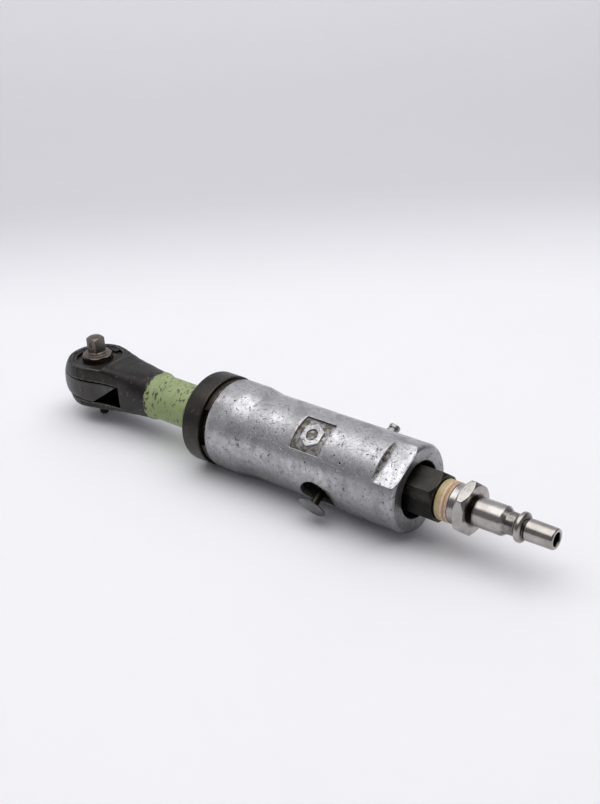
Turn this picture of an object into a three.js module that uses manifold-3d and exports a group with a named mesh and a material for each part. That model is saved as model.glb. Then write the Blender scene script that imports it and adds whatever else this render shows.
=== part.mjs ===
// Small pneumatic ratchet wrench with a 1/4 inch square drive, modelled in millimetres.
// +X runs along the tool from the head to the hose plug and +Z points out of the drive.
// The origin is the middle of the drive's end face. Inside the tool group, x is measured
// from the anvil's axis and y = z = 0 is the axis of the motor and the neck.
import * as THREE from 'three';
import { mergeVertices } from 'three/addons/utils/BufferGeometryUtils.js';
import Module from 'manifold-3d';

const wasm = await Module();
wasm.setup();

// ---------- driving dimensions ----------
const DRIVE_SIZE = 6.35;        // 1/4 inch square drive
const DRIVE_TIP = 20.0;         // height of the drive's end above the tool's axis
const FIT = 0.15;               // running clearance on a radius
const GAP = 0.3;                // clearance between stacked faces

// head
const HEAD_HALF_WIDTH = 14.65;  // at the anvil
const HEAD_TOP = 9.9;
const HEAD_BOTTOM = -10.9;
const HEAD_FLAT_END = 14.3;     // the ground flat stops here
const SLOT_TOP = 3.5;
const SLOT_BOTTOM = -7.5;
const SLOT_END = 24.4;
const EAR_BORE = 9.15;
const POCKET_RADIUS = 12.0;
const POCKET_FLOOR = 7.6;
const LOWER_BORE = 5.4;
const YOKE_BORE = 9.5;          // room for the yoke's tail inside the neck
const YOKE_BORE_END = 36.0;
const BEARING_BORE = 8.0;

// neck
const BARREL_END = 41.6;
const BARREL_RADIUS = 11.05;
const NECK_START = 44.2;
const NECK_RADIUS = 10.0;
const NECK_THREAD_START = 73.6;
const NECK_THREAD_RADIUS = 11.4;
const NECK_END = 84.0;

// yoke and ratchet
const YOKE_TEETH = 60;
const TOOTH_TIP = 9.3;
const TOOTH_ROOT = 9.9;
const TAIL_HALF_WIDTH = 6.8;
const TAIL_HALF_HEIGHT = 3.2;
const TAIL_END = 33.0;
const FORK_HALF_WIDTH = 5.4;
const FORK_START = 24.8;
const ANVIL_RADIUS = 8.6;
const LEVER_SHAFT = 1.9;
const PAWL_PIVOT = -5.4;
const PAWL_TILT = 6;            // degrees, one tip out and the other in
const LEVER_ANGLE = -45;        // degrees, the detent that the lever rests in

// coupling and motor housing
const NUT_START = 74.3;
const NUT_END = 85.9;
const NUT_RADIUS = 20.5;
const SPIGOT_START = 80.5;
const SPIGOT_RADIUS = 16.9;
const HOUSING_START = 89.06;
const HOUSING_END = 188.0;
const HOUSING_RADIUS = 18.7;
const BULGE_RADIUS = 20.05;
const MOTOR_BORE = 15.6;
const MOTOR_BORE_END = 140.6;
const INLET_BORE = 7.6;
const INLET_BORE_END = 169.0;
const AIR_PASSAGE = 4.5;
const COUNTERBORE = 12.0;
const COUNTERBORE_FLOOR = 181.5;
const FLAT_START = 177.0;
const FLAT_DISTANCE = 15.7;     // wrench flats, from the axis
const FLAT_ANGLE = 121;         // degrees from +Y towards +Z
const EMBLEM_ANGLE = 123.7;
const EMBLEM_X = 142.3;
const EMBLEM_SIZE = 15.4;
const EMBLEM_FLOOR = 17.8;

// throttle and regulator
const THROTTLE_X = 148.6;
const THROTTLE_ANGLE = 211.5;
const BUTTON_TOP = 24.2;        // distance of the button's face from the axis
const BUTTON_RADIUS = 6.25;
const BUTTON_WELL_RADIUS = 8.5;
const BUTTON_WELL_FLOOR = 12.6;
const VALVE_BORE = 4.2;
const REGULATOR_X = 163.0;
const REGULATOR_ANGLE = 33;
const REGULATOR_BORE = 3.0;
const REGULATOR_WELL_FLOOR = 15.4;

// planetary gears: sun 9, planets 12, ring 33 teeth
const MODULE = 0.8;
const SUN_TEETH = 9;
const PLANET_TEETH = 12;
const RING_TEETH = 33;
const PLANET_COUNT = 3;
const PLANET_ORBIT = MODULE * (SUN_TEETH + PLANET_TEETH) / 2;
const CRANK_THROW = 1.5;
const CRANK_RADIUS = 4.0;
const MOTOR_PART_RADIUS = MOTOR_BORE - 0.25;
const ROTOR_RADIUS = 9.5;
const ROTOR_MIDDLE = 117.5;
const ROTOR_LENGTH = 27.0;
const ROTOR_SHAFT = 3.0;
const DOWEL_HEIGHT = -13.7;     // lines up the cylinder and its end plates
const ROTOR_OFFSET = 1.9;       // the cylinder's bore is off centre by this much
const VANE_COUNT = 5;

// air inlet
const HEX_CIRCUMRADIUS = 11.0;  // 19 mm across the flats
const BUSHING_END = 199.7;
const TAPE_END = 205.6;
const PLUG_HEX_START = 209.3;
const PLUG_HEX_END = 214.0;
const PLUG_TIP = 248.8;

const ROUND = 28;               // facets of the large round pieces
const SMALL_ROUND = 16;
const TINY_ROUND = 10;

// ---------- materials ----------
function finish(color, roughness, metalness) {
  return new THREE.MeshStandardMaterial({ color, roughness, metalness });
}

const blackSteel = finish(0x3a3836, 0.45, 0.8);
const wornSteel = finish(0x6f6c68, 0.38, 0.9);
const brightSteel = finish(0xa9a6a1, 0.28, 0.95);
const hardenedSteel = finish(0x85868a, 0.35, 0.9);
const castAluminium = finish(0xb4b5ba, 0.42, 0.85);
const greenTape = finish(0x9fb678, 0.7, 0.0);
const amberTape = finish(0xcaa25f, 0.6, 0.0);
const bronze = finish(0xa7793f, 0.45, 0.8);
const springSteel = finish(0x77797c, 0.35, 0.9);
const blackRubber = finish(0x1c1c1d, 0.8, 0.0);
const vaneResin = finish(0x6a4a2c, 0.7, 0.0);

// ---------- solids ----------
function weld(geometry) {
  const bare = geometry.clone();
  bare.deleteAttribute('normal');
  bare.deleteAttribute('uv');
  const merged = mergeVertices(bare, 1e-4);
  const index = merged.getIndex().array;
  const kept = [];
  for (let i = 0; i < index.length; i += 3) {
    const [a, b, c] = [index[i], index[i + 1], index[i + 2]];
    if (a !== b && b !== c && c !== a) kept.push(a, b, c);
  }
  merged.setIndex(kept);
  return merged;
}

function signedVolume(geometry) {
  const position = geometry.getAttribute('position');
  const index = geometry.getIndex().array;
  const corner = [new THREE.Vector3(), new THREE.Vector3(), new THREE.Vector3()];
  let sum = 0;
  for (let i = 0; i < index.length; i += 3) {
    corner.forEach((point, k) => point.fromBufferAttribute(position, index[i + k]));
    sum += corner[0].dot(corner[1].cross(corner[2]));
  }
  return sum / 6;
}

function solid(geometry) {
  const welded = weld(geometry);
  const index = Uint32Array.from(welded.getIndex().array);
  if (signedVolume(welded) < 0) index.reverse();
  const vertProperties = Float32Array.from(welded.getAttribute('position').array);
  return new wasm.Manifold(new wasm.Mesh({ numProp: 3, vertProperties, triVerts: index }));
}

function toGeometry(body) {
  const mesh = body.getMesh();
  const geometry = new THREE.BufferGeometry();
  geometry.setAttribute('position', new THREE.BufferAttribute(mesh.vertProperties, 3));
  geometry.setIndex(new THREE.BufferAttribute(mesh.triVerts, 1));
  geometry.computeVertexNormals();
  return geometry;
}

function cut(body, ...tools) {
  return tools.reduce((left, tool) => left.subtract(tool), body);
}

function join(body, ...others) {
  return others.reduce((left, other) => left.add(other), body);
}

const degrees = (angle) => THREE.MathUtils.degToRad(angle);

// Revolves a closed outline of [x, radius] points about the tool's axis.
function turnedX(outline, segments = ROUND) {
  const points = outline.map(([x, radius]) => new THREE.Vector2(radius, x));
  if (outline[0][1] > 0) points.push(points[0].clone());
  return solid(new THREE.LatheGeometry(points, segments).rotateZ(-Math.PI / 2));
}

// The same about a vertical axis, for outlines of [radius, z] points.
function turnedZ(outline, segments = ROUND) {
  const points = outline.map(([radius, z]) => new THREE.Vector2(radius, z));
  if (outline[0][0] > 0) points.push(points[0].clone());
  return solid(new THREE.LatheGeometry(points, segments).rotateX(Math.PI / 2));
}

function rodX(start, end, radius, segments = SMALL_ROUND) {
  return turnedX([[start, 0], [start, radius], [end, radius], [end, 0]], segments);
}

function ringX(start, end, inner, outer, segments = ROUND) {
  return turnedX([[start, inner], [start, outer], [end, outer], [end, inner]], segments);
}

function rodZ(bottom, top, radius, segments = SMALL_ROUND) {
  return turnedZ([[0, bottom], [radius, bottom], [radius, top], [0, top]], segments);
}

function ringZ(bottom, top, inner, outer, segments = ROUND) {
  return turnedZ([[inner, bottom], [outer, bottom], [outer, top], [inner, top]], segments);
}

function block(x0, x1, y0, y1, z0, z1) {
  const geometry = new THREE.BoxGeometry(x1 - x0, y1 - y0, z1 - z0);
  return solid(geometry.translate((x0 + x1) / 2, (y0 + y1) / 2, (z0 + z1) / 2));
}

// Turns a solid made with +Z as its radial direction so that it points out of the tool at
// an angle measured from +Y towards +Z, and slides it along to x.
function radial(geometry, x, angle) {
  return geometry.rotateX(degrees(angle - 90)).translate(x, 0, 0);
}

function radialTurned(outline, x, angle, segments = SMALL_ROUND) {
  const points = outline.map(([radius, height]) => new THREE.Vector2(radius, height));
  if (outline[0][0] > 0) points.push(points[0].clone());
  const geometry = new THREE.LatheGeometry(points, segments).rotateX(Math.PI / 2);
  return solid(radial(geometry, x, angle));
}

function radialRod(x, angle, from, to, radius, segments = SMALL_ROUND) {
  return radialTurned([[0, from], [radius, from], [radius, to], [0, to]], x, angle, segments);
}

function prism(shape, bottom, top, curveSegments = 8) {
  const depth = top - bottom;
  const geometry = new THREE.ExtrudeGeometry(shape, { depth, bevelEnabled: false, curveSegments });
  return geometry.translate(0, 0, bottom);
}

function polygon(points) {
  return new THREE.Shape(points.map(([x, y]) => new THREE.Vector2(x, y)));
}

function regularPolygon(sides, radius, startAngle) {
  const points = [];
  for (let i = 0; i < sides; i += 1) {
    const angle = degrees(startAngle) + i * 2 * Math.PI / sides;
    points.push([radius * Math.cos(angle), radius * Math.sin(angle)]);
  }
  return polygon(points);
}

// A prism whose outline lies in the YZ plane, running along the tool from start to end.
function prismX(shape, start, end) {
  const geometry = prism(shape, 0, end - start);
  return geometry.rotateX(Math.PI / 2).rotateZ(Math.PI / 2).translate(start, 0, 0);
}

// A coil spring along +Z, closed at both ends of its wire.
function coil(radius, wire, bottom, top, turns) {
  class Helix extends THREE.Curve {
    getPoint(t) {
      const angle = t * turns * 2 * Math.PI;
      const height = bottom + wire + t * (top - bottom - 2 * wire);
      return new THREE.Vector3(radius * Math.cos(angle), radius * Math.sin(angle), height);
    }
  }
  const section = regularPolygon(4, wire, 0);
  const steps = turns * 8;
  return new THREE.ExtrudeGeometry(section, { steps, extrudePath: new Helix() });
}

// ---------- gears ----------
const FINE_TEETH = 40;

// One tooth is four points, the root corners and the narrower tip corners, or only a tip
// and a root where the teeth are fine.
function gearShape(teeth, rootRadius, tipRadius, startAngle, inside = false) {
  const pitch = 2 * Math.PI / teeth;
  const points = [];
  const blunt = [[-0.3, rootRadius], [-0.13, tipRadius], [0.13, tipRadius], [0.3, rootRadius]];
  const sharp = [[0, tipRadius], [0.5, rootRadius]];
  const corners = teeth > FINE_TEETH ? sharp : blunt;
  for (let i = 0; i < teeth; i += 1) {
    const middle = degrees(startAngle) + i * pitch;
    for (const [share, radius] of corners) {
      const angle = middle + share * pitch;
      points.push(new THREE.Vector2(radius * Math.cos(angle), radius * Math.sin(angle)));
    }
  }
  return inside ? new THREE.Path(points) : new THREE.Shape(points);
}

function disc(radius, segments = ROUND) {
  return regularPolygon(segments, radius, 0);
}

// ---------- head and neck ----------
// Half the section at x: half width, half height and the superellipse power that rounds it.
const HEAD_SECTIONS = [
  [0, HEAD_HALF_WIDTH, 12.0, 9],
  [5, 13.9, 12.0, 9],
  [HEAD_FLAT_END, 11.5, 11.4, 8],
  [19, 10.9, 11.0, 6],
  [SLOT_END, 10.6, 10.8, 4.6],
  [33, 10.85, 10.85, 2.8],
  [BARREL_END, BARREL_RADIUS, BARREL_RADIUS, 2],
];
const HEAD_MIDDLE = (HEAD_TOP + HEAD_BOTTOM) / 2;

function superellipse(halfWidth, halfHeight, power, angle) {
  const c = Math.cos(angle);
  const s = Math.sin(angle);
  const y = halfWidth * Math.sign(c) * Math.abs(c) ** (2 / power);
  const z = halfHeight * Math.sign(s) * Math.abs(s) ** (2 / power);
  return [y, z];
}

// A skin through rings of points, with a flat cap on each end.
function skin(rings) {
  const count = rings[0].length;
  const positions = rings.flat(2);
  const triangles = [];
  for (let r = 0; r + 1 < rings.length; r += 1) {
    for (let i = 0; i < count; i += 1) {
      const a = r * count + i;
      const b = r * count + (i + 1) % count;
      triangles.push(a, b, b + count, a, b + count, a + count);
    }
  }
  const last = (rings.length - 1) * count;
  for (let i = 1; i + 1 < count; i += 1) {
    triangles.push(0, i + 1, i, last, last + i, last + i + 1);
  }
  const geometry = new THREE.BufferGeometry();
  geometry.setAttribute('position', new THREE.Float32BufferAttribute(positions, 3));
  geometry.setIndex(triangles);
  return solid(geometry);
}

function headBarrel() {
  const rings = HEAD_SECTIONS.map(([x, halfWidth, halfHeight, power]) => {
    const share = x / BARREL_END;
    const middle = HEAD_MIDDLE * (1 - share);
    const ring = [];
    for (let i = 0; i < ROUND; i += 1) {
      const angle = (i + 0.5) * 2 * Math.PI / ROUND;
      const [y, z] = superellipse(halfWidth, halfHeight, power, angle);
      ring.push([x, y, z + middle]);
    }
    return ring;
  });
  return skin(rings);
}

// A block whose front is half an ellipse. Each level is its height, how far it reaches
// forward of the anvil's axis, and its half width.
function nose(levels, back) {
  const steps = 16;
  const rings = levels.map(([z, reach, halfWidth]) => {
    const ring = [[back, -halfWidth, z], [back, halfWidth, z]];
    for (let i = 0; i <= steps; i += 1) {
      const angle = Math.PI * i / steps;
      ring.push([-reach * Math.sin(angle), halfWidth * Math.cos(angle), z]);
    }
    return ring;
  });
  return skin(rings);
}

const EAR_NOSE = [
  [HEAD_BOTTOM, 13.4, 13.9], [-9.6, 14.8, 14.3], [SLOT_BOTTOM, 16.2, 14.5], [0, 19.4, 14.65],
  [SLOT_TOP, 18.3, 14.65], [6.7, 16.4, 14.55], [9.2, 14.4, 14.25], [HEAD_TOP, 13.8, 14.1],
];
const YOKE_NOSE = [
  [-8, 17.4, 13.9], [-6.6, 18.8, 14.3], [-5, 19.6, 14.35], [-3, 19.9, 14.35],
  [0, 19.6, 14.35], [SLOT_TOP, 18.4, 14.35],
];

function neckTube() {
  return turnedX([
    [BARREL_END - 4, 0],
    [BARREL_END - 4, BARREL_RADIUS - 0.1],
    [BARREL_END, BARREL_RADIUS],
    [NECK_START, NECK_RADIUS],
    [NECK_THREAD_START, NECK_RADIUS - 0.2],
    [NECK_THREAD_START, NECK_THREAD_RADIUS],
    [NECK_END, NECK_THREAD_RADIUS],
    [NECK_END, 0],
  ]);
}

function ratchetHousing() {
  const far = 30;
  const blank = cut(
    join(headBarrel(), nose(EAR_NOSE, 1)),
    block(-far, HEAD_FLAT_END, -far, far, HEAD_TOP, far),
    block(-far, far, -far, far, -far, HEAD_BOTTOM),
  );
  return cut(
    join(blank, neckTube()),
    block(-far, SLOT_END, -far, far, SLOT_BOTTOM, SLOT_TOP),
    rodZ(SLOT_TOP - 1, POCKET_FLOOR + 1, EAR_BORE, ROUND),
    rodZ(POCKET_FLOOR, far, POCKET_RADIUS, ROUND),
    rodZ(-far, SLOT_BOTTOM + 1, LOWER_BORE),
    rodX(SLOT_END - 3, YOKE_BORE_END, YOKE_BORE, ROUND),
    rodX(YOKE_BORE_END - 1, NECK_END + 1, BEARING_BORE),
  );
}

function neckBand() {
  const inner = FIT;
  const outer = 0.5;
  const end = NECK_THREAD_START - GAP;
  return turnedX([
    [BARREL_END + 0.2, BARREL_RADIUS + inner],
    [BARREL_END + 0.2, BARREL_RADIUS + outer],
    [NECK_START + 0.2, NECK_RADIUS + outer],
    [end, NECK_RADIUS - 0.2 + outer],
    [end, NECK_RADIUS - 0.2 + inner],
    [NECK_START + 0.2, NECK_RADIUS + inner],
  ]);
}

// ---------- ratchet ----------
function yokeOutline() {
  const [shoulderX, shoulderY] = [7.4, 13.6];
  const [ridgeX, ridgeY] = [HEAD_FLAT_END, 11.2];
  const [wingX, wingY] = [SLOT_END - 1.1, 10.2];
  const front = -25;
  const shape = new THREE.Shape();
  shape.moveTo(TAIL_END, -TAIL_HALF_WIDTH);
  shape.lineTo(TAIL_END, -FORK_HALF_WIDTH);
  shape.lineTo(FORK_START, -FORK_HALF_WIDTH);
  shape.lineTo(FORK_START, FORK_HALF_WIDTH);
  shape.lineTo(TAIL_END, FORK_HALF_WIDTH);
  shape.lineTo(TAIL_END, TAIL_HALF_WIDTH);
  shape.lineTo(wingX, TAIL_HALF_WIDTH);
  shape.lineTo(wingX, wingY);
  shape.lineTo(ridgeX, ridgeY);
  shape.lineTo(shoulderX, shoulderY);
  shape.lineTo(0, HEAD_HALF_WIDTH);
  shape.lineTo(front, HEAD_HALF_WIDTH);
  shape.lineTo(front, -HEAD_HALF_WIDTH);
  shape.lineTo(0, -HEAD_HALF_WIDTH);
  shape.lineTo(shoulderX, -shoulderY);
  shape.lineTo(ridgeX, -ridgeY);
  shape.lineTo(wingX, -wingY);
  shape.lineTo(wingX, -TAIL_HALF_WIDTH);
  return shape;
}

// A ramp under the yoke, cut across its width, that rises from the teeth towards the tail.
function ramp(endX, endZ, low, high) {
  const startX = 8;
  const bottom = SLOT_BOTTOM - 1;
  const shape = polygon([
    [startX, bottom], [startX, SLOT_BOTTOM], [endX, endZ], [SLOT_END - 1, endZ],
    [SLOT_END - 1, bottom],
  ]);
  return solid(prism(shape, low, high).rotateX(Math.PI / 2));
}

function yoke() {
  const shape = yokeOutline();
  const bottom = SLOT_BOTTOM + GAP;
  const top = SLOT_TOP - GAP;
  shape.holes.push(gearShape(YOKE_TEETH, TOOTH_ROOT, TOOTH_TIP, 0, true));
  const blank = solid(prism(shape, bottom, top, 12)).intersect(nose(YOKE_NOSE, TAIL_END + 1));
  const tailCut = block(SLOT_END - 2, 40, -10, 10, bottom - 1, -TAIL_HALF_HEIGHT);
  const topCut = block(SLOT_END - 2, 40, -10, 10, TAIL_HALF_HEIGHT, top + 1);
  const reach = 20;
  const core = 4.2;  // half the width of the spine that joins the teeth to the tail
  const reliefs = [
    ramp(19, -2.2, -reach, reach),
    ramp(SLOT_END - 1.2, SLOT_TOP - 0.1, -reach, -core),
    ramp(SLOT_END - 1.2, SLOT_TOP - 0.1, core, reach),
  ];
  return cut(blank, tailCut, topCut, ...reliefs);
}

function driveSquare() {
  const half = DRIVE_SIZE / 2;
  const corner = 0.7;
  const edge = half - corner;
  const shape = polygon([
    [half, -edge], [half, edge], [edge, half], [-edge, half],
    [-half, edge], [-half, -edge], [-edge, -half], [edge, -half],
  ]);
  const chamfer = 0.7;
  const geometry = new THREE.ExtrudeGeometry(shape, {
    depth: 12 - 2 * chamfer,
    bevelThickness: chamfer,
    bevelSize: chamfer,
    bevelOffset: -chamfer,
    bevelSegments: 2,
  });
  return solid(geometry.translate(0, 0, DRIVE_TIP - 12 + chamfer));
}

const ANVIL_FLANGE_TOP = 11.4;
const FLANGE_RADIUS = 7.3;
const BALL_HEIGHT = 16.4;       // the ball that holds a socket on the drive
const RECESS_BOTTOM = -6.0;
const RECESS_TOP = 2.4;

function anvil() {
  const turned = turnedZ([
    [0, HEAD_BOTTOM],
    [LOWER_BORE - FIT, HEAD_BOTTOM],
    [LOWER_BORE - FIT, SLOT_BOTTOM + GAP],
    [ANVIL_RADIUS, SLOT_BOTTOM + GAP],
    [ANVIL_RADIUS, SLOT_TOP - GAP],
    [EAR_BORE - FIT, SLOT_TOP - GAP],
    [EAR_BORE - FIT, POCKET_FLOOR - GAP],
    [FLANGE_RADIUS, POCKET_FLOOR - GAP],
    [FLANGE_RADIUS, ANVIL_FLANGE_TOP - 0.5],
    [FLANGE_RADIUS - 0.5, ANVIL_FLANGE_TOP],
    [0, ANVIL_FLANGE_TOP],
  ], 24);
  const pinHole = rodZ(RECESS_BOTTOM - 0.9, RECESS_TOP + 2.2, 1.3, TINY_ROUND);
  const ballBore = new THREE.CylinderGeometry(1.15, 1.15, 4.4, TINY_ROUND);
  return cut(
    join(turned, driveSquare()),
    block(-12, -2.4, -12, 12, RECESS_BOTTOM, RECESS_TOP),
    rodZ(-4.6, 1.2, 3.8),
    rodZ(HEAD_BOTTOM - 1, 1.2, LEVER_SHAFT + FIT),
    pinHole.translate(PAWL_PIVOT, 0, 0),
    solid(ballBore.translate(0, -2.2, BALL_HEIGHT)),
  );
}

function socketBall() {
  return new THREE.SphereGeometry(1.0, 10, 7);
}

function pawlShape() {
  const shape = polygon([
    [2.2, -4.6], [2.2, 4.6], [-0.8, 5.6], [-2.2, 3.2], [-2.2, -3.2], [-0.8, -5.6],
  ]);
  shape.holes.push(new THREE.Path(disc(1.35, TINY_ROUND).getPoints()));
  return shape;
}

function reverseLever() {
  const discBottom = -14.6;
  const finBottom = -19.4;
  const finHalfLength = 5.4;
  const finHalfWidth = 2.1;
  const fin = new THREE.Shape();
  fin.moveTo(-finHalfLength + finHalfWidth, -finHalfWidth);
  fin.lineTo(finHalfLength - finHalfWidth, -finHalfWidth);
  fin.absarc(finHalfLength - finHalfWidth, 0, finHalfWidth, -Math.PI / 2, Math.PI / 2, false);
  fin.lineTo(-finHalfLength + finHalfWidth, finHalfWidth);
  fin.absarc(-finHalfLength + finHalfWidth, 0, finHalfWidth, Math.PI / 2, 1.5 * Math.PI, false);
  const turned = turnedZ([
    [0, discBottom], [5.6, discBottom], [6.2, discBottom + 0.6],
    [6.2, HEAD_BOTTOM - GAP], [LEVER_SHAFT, HEAD_BOTTOM - GAP], [LEVER_SHAFT, 0.9], [0, 0.9],
  ]);
  const plungerBore = new THREE.CylinderGeometry(1.0, 1.0, 4, TINY_ROUND).rotateZ(Math.PI / 2);
  return cut(
    join(turned, solid(prism(fin, finBottom, discBottom + 0.5))),
    solid(plungerBore.translate(-0.8, 0, -1.8)),
  );
}

// An open ring with an eye at each end, for a groove in the pocket's wall.
function retainingRing() {
  const outer = POCKET_RADIUS - FIT;
  const inner = 10.2;
  const opening = degrees(14);
  const shape = new THREE.Shape();
  shape.absarc(0, 0, outer, opening, 2 * Math.PI - opening, false);
  shape.absarc(0, 0, inner - 0.9, 2 * Math.PI - opening, 2 * Math.PI - 2.2 * opening, true);
  shape.absarc(0, 0, inner, 2 * Math.PI - 2.6 * opening, 2.6 * opening, true);
  shape.absarc(0, 0, inner - 0.9, 2.2 * opening, opening, true);
  return prism(shape, 0, 0.8, 12);
}

function frictionWasher() {
  const washer = ringZ(0, 0.6, FLANGE_RADIUS + FIT, POCKET_RADIUS - FIT, ROUND);
  const notches = [];
  for (let i = 0; i < 6; i += 1) {
    notches.push(solid(new THREE.BoxGeometry(3, 1.6, 3).translate(POCKET_RADIUS, 0, 0)
      .rotateZ(i * Math.PI / 3 + 0.4)));
  }
  return cut(washer, ...notches);
}

// ---------- crank, gears and motor ----------
const CARRIER_START = 84.6;
const CARRIER_END = 88.6;
const GEAR_START = 90.2;
const GEAR_END = 98.0;

function crankshaft() {
  const pin = rodX(FORK_START + GAP, 37.5, 1.4, TINY_ROUND).translate(0, 0, CRANK_THROW);
  const shaft = turnedX([
    [36.6, 0], [36.6, 6.4], [41.5, 6.4], [42.0, 5.6], [43.0, 5.6], [43.0, CRANK_RADIUS],
    [CARRIER_START - 0.4, CRANK_RADIUS], [CARRIER_START - 0.4, 5.4], [CARRIER_START, 5.4],
    [CARRIER_START, 11.4], [CARRIER_END, 11.4], [CARRIER_END, 0],
  ], 24);
  const pinHoles = planetAngles().map((angle) => {
    const hole = rodX(CARRIER_START + 1, CARRIER_END + 1, 1.6, TINY_ROUND);
    const [y, z] = orbitPoint(angle);
    return hole.translate(0, y, z);
  });
  return cut(join(shaft, pin), ...pinHoles);
}

function crankBearing(start, end) {
  return ringX(start, end, CRANK_RADIUS + FIT, BEARING_BORE - FIT, SMALL_ROUND);
}

function planetAngles() {
  return Array.from({ length: PLANET_COUNT }, (_, k) => 90 + k * 360 / PLANET_COUNT);
}

function orbitPoint(angle) {
  return [PLANET_ORBIT * Math.cos(degrees(angle)), PLANET_ORBIT * Math.sin(degrees(angle))];
}

function planetGear(angle) {
  const pitchRadius = MODULE * PLANET_TEETH / 2;
  const halfPitch = 180 / PLANET_TEETH;
  const shape = gearShape(PLANET_TEETH, pitchRadius - 0.75, pitchRadius + 0.4, angle + halfPitch);
  shape.holes.push(new THREE.Path(disc(1.65, TINY_ROUND).getPoints()));
  return prismX(shape, GEAR_START + 0.2, GEAR_END - 0.6);
}

function ringGear() {
  const pitchRadius = MODULE * RING_TEETH / 2;
  const shape = disc(MOTOR_PART_RADIUS);
  shape.holes.push(gearShape(RING_TEETH, pitchRadius + 0.75, pitchRadius - 0.4, 90, true));
  return prismX(shape, GEAR_START, GEAR_END);
}

const FRONT_PLATE = [98.4, 103.4];
const CYLINDER = [103.7, 131.3];
const REAR_PLATE = [131.6, 136.6];

function endPlate([start, end], recessAtFront) {
  const recess = recessAtFront ? [start - 1, start + 3.5] : [end - 3.5, end + 1];
  const pinHole = rodX(start - 1, end + 1, 1.15, TINY_ROUND).translate(0, 0, DOWEL_HEIGHT);
  return cut(
    rodX(start, end, MOTOR_PART_RADIUS, ROUND),
    rodX(start - 1, end + 1, 3.8),
    rodX(...recess, 6.6),
    pinHole,
  );
}

function rotorBearing(start) {
  const inner = ROTOR_SHAFT + FIT;
  const outer = 6.6 - FIT;
  const width = 3.0;
  const shieldDepth = 0.4;
  return turnedX([
    [start, inner], [start, inner + 0.7], [start + shieldDepth, inner + 0.8],
    [start + shieldDepth, outer - 0.8], [start, outer - 0.7], [start, outer],
    [start + width, outer], [start + width, inner],
  ], SMALL_ROUND);
}

function motorCylinder() {
  const [start, end] = CYLINDER;
  const bore = rodX(start - 1, end + 1, 11.6, ROUND).translate(0, 0, ROTOR_OFFSET);
  const pinHole = rodX(start - 1, end + 1, 1.15, TINY_ROUND).translate(0, 0, DOWEL_HEIGHT);
  const ports = [-7.5, 0, 7.5].map((offset) => {
    return radialRod(ROTOR_MIDDLE + offset, 90, 10, 20, 1.8, TINY_ROUND);
  });
  return cut(rodX(start, end, MOTOR_PART_RADIUS, ROUND), bore, pinHole, ...ports);
}

function vaneSlotAngle(k) {
  return 90 + k * 360 / VANE_COUNT;
}

function rotor() {
  const start = ROTOR_MIDDLE - ROTOR_LENGTH / 2;
  const end = ROTOR_MIDDLE + ROTOR_LENGTH / 2;
  const core = rodX(start, end, ROTOR_RADIUS, ROUND);
  const frontShaft = rodX(GEAR_END, start + 1, ROTOR_SHAFT);
  const rearShaft = rodX(end - 1, REAR_PLATE[1] - 0.2, ROTOR_SHAFT);
  const pitchRadius = MODULE * SUN_TEETH / 2;
  const sunShape = gearShape(SUN_TEETH, pitchRadius - 0.75, pitchRadius + 0.4, 90);
  const sun = solid(prismX(sunShape, CARRIER_END + 0.6, GEAR_END + 0.5));
  const slots = [];
  for (let k = 0; k < VANE_COUNT; k += 1) {
    const slot = new THREE.BoxGeometry(ROTOR_LENGTH + 3, 1.3, 6).translate(ROTOR_MIDDLE, 0, 8.0);
    slots.push(solid(radial(slot, 0, vaneSlotAngle(k))));
  }
  return cut(join(core, frontShaft, rearShaft, sun), ...slots);
}

function vane(k) {
  const blade = new THREE.BoxGeometry(ROTOR_LENGTH - 0.6, 1.0, 4.2).translate(ROTOR_MIDDLE, 0, 7.4);
  return radial(blade, 0, vaneSlotAngle(k));
}

// ---------- coupling and motor housing ----------
function couplingNut() {
  const lip = NECK_THREAD_RADIUS + FIT;
  const inside = SPIGOT_RADIUS + GAP;
  return turnedX([
    [NUT_START, lip], [NUT_START, NUT_RADIUS - 2.0], [NUT_START + 1.6, NUT_RADIUS - 0.2],
    [NUT_START + 2.4, NUT_RADIUS], [NUT_END - 0.5, NUT_RADIUS], [NUT_END, NUT_RADIUS - 0.5],
    [NUT_END, inside], [SPIGOT_START - 1, inside], [SPIGOT_START - 1, lip],
  ]);
}

// Between the nut and the housing: three wide mouths let the exhaust air out.
function exhaustRing() {
  const start = NUT_END + GAP;
  const end = HOUSING_START - GAP;
  const ring = ringX(start, end, SPIGOT_RADIUS + 0.2, 19.4);
  const web = SPIGOT_RADIUS + 0.8;
  const mouths = [165, 285, 45].map((middle) => {
    const half = degrees(25);
    const shape = new THREE.Shape();
    shape.absarc(0, 0, 25, -half, half, false);
    shape.absarc(0, 0, web, half, -half, true);
    const geometry = prismX(shape, start - 1, end + 1);
    return solid(geometry.rotateX(degrees(middle)));
  });
  return cut(ring, ...mouths);
}

function housingBlank() {
  return turnedX([
    [SPIGOT_START, MOTOR_BORE], [SPIGOT_START, SPIGOT_RADIUS], [HOUSING_START, SPIGOT_RADIUS],
    [HOUSING_START, BULGE_RADIUS - 0.9], [HOUSING_START + 0.9, BULGE_RADIUS],
    [100.0, BULGE_RADIUS], [103.6, 19.7], [107.6, 19.0],
    [111.2, HOUSING_RADIUS], [HOUSING_END - 2.6, HOUSING_RADIUS],
    [HOUSING_END - 0.8, HOUSING_RADIUS - 0.8], [HOUSING_END, HOUSING_RADIUS - 2.6],
    [HOUSING_END, COUNTERBORE], [COUNTERBORE_FLOOR, COUNTERBORE],
    [COUNTERBORE_FLOOR, INLET_BORE], [INLET_BORE_END, INLET_BORE],
    [INLET_BORE_END, AIR_PASSAGE], [MOTOR_BORE_END, AIR_PASSAGE], [MOTOR_BORE_END, MOTOR_BORE],
  ], 32);
}

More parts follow.
